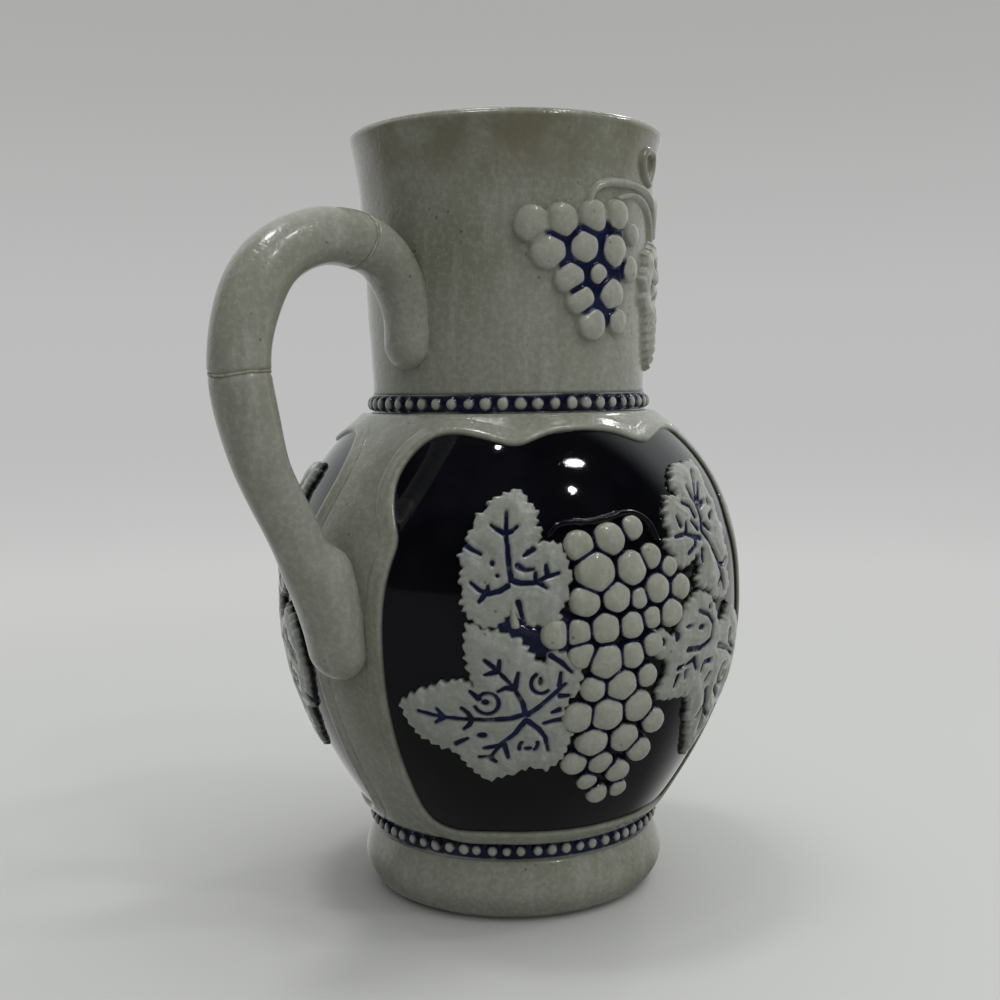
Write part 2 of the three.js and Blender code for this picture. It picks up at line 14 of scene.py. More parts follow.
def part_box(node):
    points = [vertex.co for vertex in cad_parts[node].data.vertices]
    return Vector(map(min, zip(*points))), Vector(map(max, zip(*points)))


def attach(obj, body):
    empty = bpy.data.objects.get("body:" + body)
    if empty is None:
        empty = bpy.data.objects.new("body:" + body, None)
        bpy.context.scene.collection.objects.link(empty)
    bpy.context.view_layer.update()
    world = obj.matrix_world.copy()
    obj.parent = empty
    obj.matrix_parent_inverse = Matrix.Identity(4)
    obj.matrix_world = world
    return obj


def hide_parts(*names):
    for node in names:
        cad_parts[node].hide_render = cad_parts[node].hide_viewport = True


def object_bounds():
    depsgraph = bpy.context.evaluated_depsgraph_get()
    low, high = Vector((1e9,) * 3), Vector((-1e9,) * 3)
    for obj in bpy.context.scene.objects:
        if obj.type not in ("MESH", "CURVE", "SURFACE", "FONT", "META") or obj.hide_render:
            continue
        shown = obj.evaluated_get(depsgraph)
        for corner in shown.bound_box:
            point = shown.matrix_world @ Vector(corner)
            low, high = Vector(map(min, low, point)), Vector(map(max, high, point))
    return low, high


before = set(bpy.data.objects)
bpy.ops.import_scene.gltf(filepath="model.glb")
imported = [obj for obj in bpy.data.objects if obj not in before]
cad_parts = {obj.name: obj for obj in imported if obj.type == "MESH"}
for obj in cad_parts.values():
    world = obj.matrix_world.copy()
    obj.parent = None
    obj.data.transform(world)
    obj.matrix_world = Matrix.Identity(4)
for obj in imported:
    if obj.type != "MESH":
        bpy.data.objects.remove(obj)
cad_box = [[float(value) for value in corner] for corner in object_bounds()]

MM = 0.001


def low_of(node):
    """Lowest corner of a node of the frame."""
    return [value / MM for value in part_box(node)[0]]


def high_of(node):
    """Highest corner of a node of the frame."""
    return [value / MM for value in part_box(node)[1]]


# Heights of the joints, read from the frame
FOOT_TOP = high_of("foot")[2]
FOOT_BAND_TOP = high_of("foot_bead_band")[2]
SHOULDER = low_of("neck_bead_band")[2]
NECK_BAND_TOP = high_of("neck_bead_band")[2]
RIM = high_of("neck")[2]

# Pot radii and walls, as in the part's source
BASE_RADIUS = 41.7
FOOT_TOP_RADIUS = 44.6
FOOT_BULGE = 4.7
FOOT_BULGE_DROOP = 0.85
FOOT_FLOOR = 7
BASE_BEVEL = 1.5
BELLY_FOOT_RADIUS = 46.5
BELLY_RADIUS = 72.1
BELLY_SHOULDER_RADIUS = 46.2
BELLY_WIDEST_SHARE = 0.535
LOWER_FULLNESS = 1.9
UPPER_FULLNESS = 2.6
BELLY_WALL = 5
NECK_RADIUS = 42.7
NECK_TAPER = 3.9
LIP_FLARE = 2.5
LIP_FLARE_POWER = 9
NECK_WALL = 4.8
RIM_THICKNESS = 3.4
LIP_REACH = 9
LIP_HALF_ANGLE = 30
LIP_DEPTH = 42
BAND_SEAT = 1.4
SEAT_CLEARANCE = 0.3
INSIDE_RADIUS = 38

BELLY_WIDEST = FOOT_BAND_TOP + BELLY_WIDEST_SHARE * (SHOULDER - FOOT_BAND_TOP)
COLLAR_RADIUS = NECK_RADIUS - SEAT_CLEARANCE / 2
FOOT_SEAT = FOOT_TOP_RADIUS - BAND_SEAT
NECK_SEAT = COLLAR_RADIUS - BAND_SEAT + SEAT_CLEARANCE

# Layout of the ornament, as in the part's source
HANDLE_STRIP_ANGLE = 20
PANEL_STRIP_ANGLE = 3.5
PANEL_BOTTOM = FOOT_BAND_TOP + 2.6
PANEL_TOP = SHOULDER - 2.4
PANEL_HALF_ANGLE = (360 - HANDLE_STRIP_ANGLE - 2 * PANEL_STRIP_ANGLE) / 6
PANEL_PITCH_ANGLE = 2 * PANEL_HALF_ANGLE + PANEL_STRIP_ANGLE
GARLAND_TURN = -9
GARLAND_STEP_ANGLE = 50
PANELS = {
    "right_panel": -PANEL_PITCH_ANGLE,
    "front_panel": 0,
    "left_panel": PANEL_PITCH_ANGLE,
}

# How finely the walls are turned: points round the axis
FOOT_SEGMENTS = 192
BELLY_SEGMENTS = 320
NECK_SEGMENTS = 256

# Roundings and small depths of the foot
FOOT_LIP_ROUND = 0.8
FLOOR_ROUND = 6
CENTRE_HOLE = 2

# Relief: how deep the panels and the backs of the sprigs lie, and the spacing of a sprig's points
PANEL_SUNK = 0.55
PANEL_PAINT_SOFT = 0.9
CUSP_ROUND = 3
BURIED = -0.7
SPRIG_BACK = BURIED - 0.3
SPRIG_STEP = 0.3


def foot_radius(z):
    """Radius of the foot: a straight flare with a low bulge."""
    share = np.clip(z / FOOT_TOP, 0, 1)
    bulge = FOOT_BULGE * np.sin(np.pi * share**FOOT_BULGE_DROOP)
    return BASE_RADIUS + (FOOT_TOP_RADIUS - BASE_RADIUS) * share + bulge


def belly_radius(z, azimuth=0):
    """Radius of the belly, the same at every azimuth: a fuller curve above its widest height than below."""
    lower = z < BELLY_WIDEST
    end = np.where(lower, FOOT_BAND_TOP, SHOULDER)
    end_radius = np.where(lower, BELLY_FOOT_RADIUS, BELLY_SHOULDER_RADIUS)
    fullness = np.where(lower, LOWER_FULLNESS, UPPER_FULLNESS)
    away = np.clip(np.abs((BELLY_WIDEST - z) / (BELLY_WIDEST - end)), 0, 1)
    return BELLY_RADIUS - (BELLY_RADIUS - end_radius) * away**fullness


def lip_reach(azimuth, z):
    """How far the pulled lip carries the wall outwards."""
    turned = np.abs((np.asarray(azimuth, float) + 180) % 360 - 180) / LIP_HALF_ANGLE
    rise = np.clip((z - RIM + LIP_DEPTH) / LIP_DEPTH, 0, 1)
    return np.where(turned < 1, LIP_REACH * np.cos(turned * np.pi / 2) ** 2 * rise**2, 0)


def neck_radius(z, azimuth=180):
    """Radius of the neck: a slight taper that turns out at the rim and is pulled into the lip."""
    share = np.clip((z - NECK_BAND_TOP) / (RIM - NECK_BAND_TOP), 0, 1)
    plain = NECK_RADIUS + NECK_TAPER * share + LIP_FLARE * share**LIP_FLARE_POWER
    return plain + lip_reach(azimuth, z)


class Wall:
    """An outer wall of the pot: its radius at each height, and the way up its profile."""

    SAMPLES = 500
    SLOPE_STEP = 0.05

    def __init__(self, radius, low, high):
        self.radius = radius
        self.heights = np.linspace(low, high, self.SAMPLES)
        radii = radius(self.heights, 180)
        steps = np.hypot(np.diff(self.heights), np.diff(radii))
        self.climbed = np.concatenate([[0], np.cumsum(steps)])

    def height_at(self, start, climb):
        """The height reached by climbing the profile from a start height."""
        begin = np.interp(start, self.heights, self.climbed)
        return np.interp(begin + climb, self.climbed, self.heights)

    def points(self, azimuth, z, proud):
        """Points a distance outside the wall, along its own normal."""
        step = self.SLOPE_STEP
        slope = (self.radius(z + step, azimuth) - self.radius(z - step, azimuth)) / (2 * step)
        across = 1 / np.sqrt(1 + slope**2)
        reach = self.radius(z, azimuth) + proud * across
        angle = np.radians(azimuth)
        return np.stack([reach * np.cos(angle), reach * np.sin(angle), z - proud * slope * across], -1)

    def laid(self, azimuth, start, x, y, proud):
        """Points of a flat sprig laid on the wall: x to the right round the pot, y up the wall."""
        z = self.height_at(start, y)
        turned = azimuth + np.degrees(x / self.radius(z, azimuth))
        return self.points(turned, z, proud)


BELLY_WALLED = Wall(belly_radius, FOOT_BAND_TOP, SHOULDER)
NECK_WALLED = Wall(neck_radius, NECK_BAND_TOP, RIM)


def smooth(low, high, value):
    """Smooth step from 0 at low to 1 at high."""
    share = np.clip((value - low) / (high - low), 0, 1)
    return share * share * (3 - 2 * share)


def softer_of(a, b, sharpness=4):
    """The lower of two heights, with the crease between them rounded."""
    return -np.log(np.exp(-sharpness * a) + np.exp(-sharpness * b)) / sharpness


RIPPLE_WAVES = 5


def ripple(x, y, seed):
    """Slow uneven swell between -1 and 1, the same for the same seed."""
    waves = np.random.default_rng(seed)
    total = np.zeros(np.broadcast(x, y).shape)
    for _ in range(RIPPLE_WAVES):
        kx, ky = waves.normal(0, 1, 2)
        total = total + np.sin(kx * x + ky * y + waves.uniform(0, 6.3))
    return total / RIPPLE_WAVES


BOX_LOW, BOX_HIGH = (np.array(corner) / MM for corner in cad_box)


def build_mesh(name, points, faces, masks=None):
    """A smooth-shaded mesh object from points in millimetres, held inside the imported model's box.

    Each mask gives a value for each point.
    """
    mesh = bpy.data.meshes.new(name)
    held = np.clip(points, BOX_LOW, BOX_HIGH)
    mesh.from_pydata((held * MM).tolist(), [], faces)
    for title, values in (masks or {}).items():
        layer = mesh.attributes.new(title, "FLOAT", "POINT")
        layer.data.foreach_set("value", np.asarray(values, dtype=np.float32).ravel())
    mesh.polygons.foreach_set("use_smooth", [True] * len(mesh.polygons))
    mesh.update()
    piece = bpy.data.objects.new(name, mesh)
    bpy.context.scene.collection.objects.link(piece)
    return piece


def present(piece, material, slot, *nodes):
    """Gives a piece its finish, lets it ride on the pot and hides the nodes that it stands for."""
    piece.data.materials.append(material)
    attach(piece, "root")
    if nodes:
        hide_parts(*nodes)
    return piece


def grid_faces(rows, columns, loop_rows=False, loop_columns=False):
    """Quads over a grid of points, row by row, that may close on itself either way."""
    faces = []
    for i in range(rows if loop_rows else rows - 1):
        here = i * columns
        above = ((i + 1) % rows) * columns
        for j in range(columns if loop_columns else columns - 1):
            k = (j + 1) % columns
            faces.append((here + j, here + k, above + k, above + j))
    return faces


def end_fans(rows, columns):
    """Triangles that close the first and last ring of a grid onto the two points that follow the grid."""
    first_middle = rows * columns
    last_ring = first_middle - columns
    fans = []
    for j in range(columns):
        k = (j + 1) % columns
        fans.append((first_middle, k, j))
        fans.append((first_middle + 1, last_ring + j, last_ring + k))
    return fans


def turned_ring(profile, segments, radius_shift=None, closed=True):
    """A profile turned round the axis: points, faces, and the azimuth and height of each point.

    The shift bends each point outwards.
    """
    profile = np.asarray(profile, float)
    azimuth = np.arange(segments) * 360 / segments
    r = profile[:, :1] + np.zeros(segments)
    z = profile[:, 1:] + np.zeros(segments)
    a = azimuth[None, :] + np.zeros((len(profile), 1))
    if radius_shift is not None:
        r = r + radius_shift(r, z, a)
    angle = np.radians(a)
    points = np.stack([r * np.cos(angle), r * np.sin(angle), z], -1).reshape(-1, 3)
    return points, grid_faces(len(profile), segments, closed, True), a.ravel(), z.ravel()


def arc(centre, radius, start, stop, steps):
    """Profile points on an arc, from a start angle to a stop angle."""
    angles = np.radians(np.linspace(start, stop, steps))
    return [(centre[0] + radius * math.cos(t), centre[1] + radius * math.sin(t)) for t in angles]


def thrown(r, z, azimuth):
    """Slight unevenness of a thrown wall."""
    return 0.12 * ripple(azimuth * math.pi / 90, z * 0.08, 3) * np.sin(np.radians(azimuth) + z * 0.02)


def make_foot(material):
    """The foot ring and the floor of the pot, closed at its middle below and above."""
    bevel = arc((BASE_RADIUS - BASE_BEVEL, BASE_BEVEL), BASE_BEVEL, -90, -10, 6)
    heights = np.linspace(BASE_BEVEL * 1.15, FOOT_TOP - FOOT_LIP_ROUND, 26)
    outside = [(float(foot_radius(z)), z) for z in heights]
    lip = arc((FOOT_TOP_RADIUS - FOOT_LIP_ROUND, FOOT_TOP - FOOT_LIP_ROUND), FOOT_LIP_ROUND, 20, 90, 5)
    inner_edge = (INSIDE_RADIUS + SEAT_CLEARANCE, FOOT_TOP)
    floor = arc((INSIDE_RADIUS - FLOOR_ROUND, FOOT_FLOOR + FLOOR_ROUND), FLOOR_ROUND, 0, -90, 8)
    profile = [(CENTRE_HOLE, 0), *bevel, *outside, *lip, inner_edge, *floor, (CENTRE_HOLE, FOOT_FLOOR)]
    points, faces, _, _ = turned_ring(profile, FOOT_SEGMENTS, thrown, closed=False)
    points = np.vstack([points, [[0, 0, 0], [0, 0, FOOT_FLOOR]]])
    faces += end_fans(len(profile), FOOT_SEGMENTS)
    return present(build_mesh("foot_ware", points, faces), material, "salt_glaze", "foot")


def catmull_rom(points, steps, loop=False):
    """A smooth curve through points, with its knots spread by the square root of their distance."""
    points = np.asarray(points, float)
    if loop:
        points = np.vstack([points[-1], points, points[:2]])
    else:
        points = np.vstack([2 * points[0] - points[1], points, 2 * points[-1] - points[-2]])
    curve = []
    for p0, p1, p2, p3 in zip(points, points[1:], points[2:], points[3:]):
        t1 = math.sqrt(math.dist(p0, p1))
        t2 = t1 + math.sqrt(math.dist(p1, p2))
        t3 = t2 + math.sqrt(math.dist(p2, p3))
        t = np.linspace(t1, t2, steps, endpoint=False)[:, None]
        a1 = ((t1 - t) * p0 + t * p1) / t1
        a2 = ((t2 - t) * p1 + (t - t1) * p2) / (t2 - t1)
        a3 = ((t3 - t) * p2 + (t - t2) * p3) / (t3 - t2)
        b1 = ((t2 - t) * a1 + t * a2) / t2
        b2 = ((t3 - t) * a2 + (t - t1) * a3) / (t3 - t1)
        curve.append(((t2 - t) * b1 + (t - t1) * b2) / (t2 - t1))
    if not loop:
        curve.append(points[-2][None, :])
    return np.vstack(curve)


# Outline of a panel's right half from its top middle to its bottom middle: share of the half angle and
# share of the panel's height. Each row is one smooth stretch; the rows meet in cusps.
PANEL_STRETCHES = [
    [(0, 0.99), (0.2, 0.982), (0.39, 0.953)],
    [
        (0.39, 0.953), (0.56, 0.973), (0.735, 0.984), (0.885, 0.97), (0.965, 0.925), (0.99, 0.87),
        (0.965, 0.81), (0.91, 0.737),
    ],
    [(0.91, 0.737), (0.95, 0.66), (0.972, 0.58), (0.98, 0.46)],
    [(0.98, 0.46), (0.988, 0.3), (0.985, 0.16), (0.96, 0.05), (0.86, 0.01), (0.5, 0.004), (0, 0)],
]


def panel_outline(spacing):
    """Outline of a panel round its middle, in degrees and heights, evenly spaced along the wall."""
    half = np.vstack([catmull_rom(stretch, 24)[:-1] for stretch in PANEL_STRETCHES] + [[[0, 0]]])
    other = half[1:-1][::-1] * [-1, 1]
    loop = np.vstack([half, other])
    azimuth = loop[:, 0] * PANEL_HALF_ANGLE
    z = PANEL_BOTTOM + loop[:, 1] * (PANEL_TOP - PANEL_BOTTOM)
    closed = np.vstack([np.stack([azimuth, z], -1), [[azimuth[0], z[0]]]])
    wall = BELLY_WALLED.points(closed[:, 0], closed[:, 1], 0)
    run = np.concatenate([[0], np.cumsum(np.linalg.norm(np.diff(wall, axis=0), axis=1))])
    count = int(run[-1] / spacing)
    at = np.arange(count) * run[-1] / count
    even = np.stack([np.interp(at, run, closed[:, 0]), np.interp(at, run, closed[:, 1])], -1)
    reach = int(CUSP_ROUND / spacing)
    return sum(np.roll(even, step, axis=0) for step in range(-reach, reach + 1)) / (2 * reach + 1)


def distance_to_path(x, y, path, loop=False, widths=(0, 0)):
    """Distance from each point to the nearest stretch of a path, less half the path's tapering width."""
    path = np.asarray(path, float)
    ends = np.roll(path, -1, axis=0) if loop else path[1:]
    best = np.full(np.shape(x), 1e9)
    count = len(ends)
    for number, ((ax, ay), (bx, by)) in enumerate(zip(path, ends)):
        dx, dy = bx - ax, by - ay
        length = dx * dx + dy * dy + 1e-12
        share = np.clip(((x - ax) * dx + (y - ay) * dy) / length, 0, 1)
        width = widths[0] + (widths[1] - widths[0]) * (number + share) / count
        best = np.minimum(best, np.hypot(x - ax - share * dx, y - ay - share * dy) - width / 2)
    return best


def inside_distance(x, y, outline):
    """Distance to an outline, positive inside it and negative outside."""
    outline = np.asarray(outline, float)
    within = np.zeros(np.shape(x), bool)
    for (ax, ay), (bx, by) in zip(outline, np.roll(outline, -1, axis=0)):
        crosses = (ay > y) != (by > y)
        at = ax + (bx - ax) * (y - ay) / (by - ay if by != ay else 1)
        within ^= crosses & (x < at)
    return distance_to_path(x, y, outline, loop=True) * np.where(within, 1, -1)


def make_belly(material):
    """The belly: panels sunk into its wall and marked for the dark glaze."""
    seat = FOOT_SEAT - SEAT_CLEARANCE
    seated = [(INSIDE_RADIUS + SEAT_CLEARANCE, FOOT_TOP), (seat, FOOT_TOP), (seat, FOOT_BAND_TOP)]
    outside = [(float(belly_radius(z)), z) for z in np.linspace(FOOT_BAND_TOP, SHOULDER, 130)]
    inside_heights = np.linspace(SHOULDER - BELLY_WALL, FOOT_BAND_TOP + BELLY_WALL, 30)
    inside = [(max(INSIDE_RADIUS, float(belly_radius(z)) - BELLY_WALL * 1.05), z) for z in inside_heights]
    profile = seated + outside + [(COLLAR_RADIUS - NECK_WALL, SHOULDER)] + inside
    points, faces, azimuth, z = turned_ring(profile, BELLY_SEGMENTS)
    outline = panel_outline(1.5)
    scale = math.radians(1) * BELLY_RADIUS
    mask = np.zeros(len(points))
    first = len(seated) * BELLY_SEGMENTS
    outer = slice(first, first + len(outside) * BELLY_SEGMENTS)
    for middle in PANELS.values():
        across = ((azimuth[outer] - middle + 180) % 360 - 180) * scale
        near = np.abs(across) < (PANEL_HALF_ANGLE + 4) * scale
        d = inside_distance(across[near], z[outer][near], outline * [scale, 1])
        part = np.zeros(len(across))
        part[near] = smooth(-PANEL_PAINT_SOFT, PANEL_PAINT_SOFT, d)
        mask[outer] = np.maximum(mask[outer], part)
    shift = 1 - mask * PANEL_SUNK / np.hypot(points[:, 0], points[:, 1])
    points[:, :2] *= shift[:, None]
    return present(build_mesh("belly_ware", points, faces, {"panel": mask}), material, "salt_glaze", "belly")


# Section of the raised edge round a panel, from the panel's side to the plain wall's side:
# place across the edge, and how proud it stands
EDGE_SECTION = [
    (-1.6, -0.9),
    (-1.38, -0.45),
    (-1.1, 0.08),
    (-0.72, 0.44),
    (-0.2, 0.62),
    (0.4, 0.64),
    (1.1, 0.53),
    (1.9, 0.37),
    (2.8, 0.2),
    (3.7, 0.08),
    (4.5, 0),
    (5, -0.4),
    (3.4, -0.9),
]


def make_panel_edge(panel, middle, material):
    """The raised, rounded edge round a panel. Its inner flank is marked for the dark glaze."""
    outline = panel_outline(0.9)
    count = len(outline)
    surface = BELLY_WALLED.points(outline[:, 0] + middle, outline[:, 1], 0)
    out = BELLY_WALLED.points(outline[:, 0] + middle, outline[:, 1], 1) - surface
    onward = sum(np.roll(surface, -reach, axis=0) - np.roll(surface, reach, axis=0) for reach in (1, 2, 3))
    across = np.cross(onward, out)
    across /= np.linalg.norm(across, axis=1)[:, None]
    centre = BELLY_WALLED.points(np.array([middle]), np.array([BELLY_WIDEST]), 0)[0]
    if np.dot(across[0], surface[0] - centre) < 0:
        across = -across
    wobble = 0.12 * ripple(np.arange(count) * 0.05, np.zeros(count), 11)
    rings = []
    masks = []
    for side, proud in EDGE_SECTION:
        rings.append(surface + across * side + out * (proud + np.where(proud > 0.3, wobble, 0))[:, None])
        masks.append(np.full(count, 1 - float(smooth(-1.4, -0.9, side))))
    points = np.stack(rings).reshape(-1, 3)
    faces = grid_faces(len(EDGE_SECTION), count, True, True)
    piece = build_mesh(f"{panel}_raised_edge", points, faces, {"panel": np.stack(masks)})
    return present(piece, material, "salt_glaze", f"{panel}_frame")


def shell_faces(front, count):
    """Closes a shell behind its front quads. A front point's back point comes count places later."""
    edges = {}
    for quad in front.tolist():
        for a, b in zip(quad, quad[1:] + quad[:1]):
            if edges.pop((b, a), None) is None:
                edges[(a, b)] = True
    sides = [(b, a, a + count, b + count) for a, b in edges]
    return np.vstack([front, front[:, ::-1] + count, np.array(sides)])


def make_sprig(name, wall, azimuth, height, span, relief, material, *nodes):
    """A pressed sprig: a fine grid laid on the wall and raised by its relief, with a back inside the wall."""
    (left, low), (right, top) = span
    columns = int((right - left) / SPRIG_STEP) + 1
    rows = int((top - low) / SPRIG_STEP) + 1
    x, y = np.meshgrid(np.linspace(left, right, columns), np.linspace(low, top, rows))
    up, masks = relief(x, y)
    up = np.maximum(up, BURIED)
    front = wall.laid(azimuth, height, x, y, up).reshape(-1, 3)
    back = wall.laid(azimuth, height, x, y, np.full_like(x, SPRIG_BACK)).reshape(-1, 3)
    index = np.arange(rows * columns).reshape(rows, columns)
    quads = np.stack([index[:-1, :-1], index[:-1, 1:], index[1:, 1:], index[1:, :-1]], -1).reshape(-1, 4)
    raised = quads[up.ravel()[quads].max(axis=1) > BURIED + 0.05]
    faces = shell_faces(raised, rows * columns)
    used, compact = np.unique(faces, return_inverse=True)
    points = np.vstack([front, back])[used]
    tints = {
        title: np.concatenate([np.broadcast_to(values, x.shape).ravel()] * 2)[used]
        for title, values in masks.items()
    }
    piece = build_mesh(name, points, compact.reshape(faces.shape).tolist(), tints)
    return present(piece, material, "salt_glaze", *nodes)


# A leaf's tooth: places along its pitch and how far out each stands, as shares
TOOTH = ((0, -0.4), (0.36, 0.2), (0.6, 0.6), (0.78, 0.45))


def serrated(outline, teeth, seed):
    """An outline with uneven teeth along it. Teeth are given by their pitch and depth."""
    pitch, depth = teeth
    closed = np.vstack([outline, outline[:1]]).astype(float)
    twice_area = np.sum(closed[:-1, 0] * closed[1:, 1] - closed[1:, 0] * closed[:-1, 1])
    outward = depth if twice_area > 0 else -depth
    run = np.concatenate([[0], np.cumsum(np.hypot(*np.diff(closed, axis=0).T))])
    count = max(6, round(run[-1] / pitch))
    uneven = np.random.default_rng(seed)
    places = (np.arange(count) + uneven.uniform(-0.2, 0.2, count)) * run[-1] / count
    widths = np.diff(np.append(places, places[0] + run[-1]))
    reaches = outward * uneven.uniform(0.55, 1.3, count)
    points = []
    for place, width, reach in zip(places, widths, reaches):
        for share, out in TOOTH:
            at = (place + share * width) % run[-1]
            here, ahead, behind = (
                np.array([np.interp((at + step) % run[-1], run, closed[:, axis]) for axis in (0, 1)])
                for step in (0, 0.5, -0.5)
            )
            step = (ahead - behind) / (np.hypot(*(ahead - behind)) + 1e-9)
            points.append(here + np.array([step[1], -step[0]]) * out * reach)
    return np.array(points)


def hook(x, y, radius, start, sweep):
    """Path of an open curl: part of a circle that tightens a little towards its end."""
    angles = np.radians(start + np.linspace(0, sweep, 14))
    reach = radius * np.linspace(1, 0.82, 14)
    return np.stack([x + reach * np.cos(angles), y + reach * np.sin(angles)], -1)


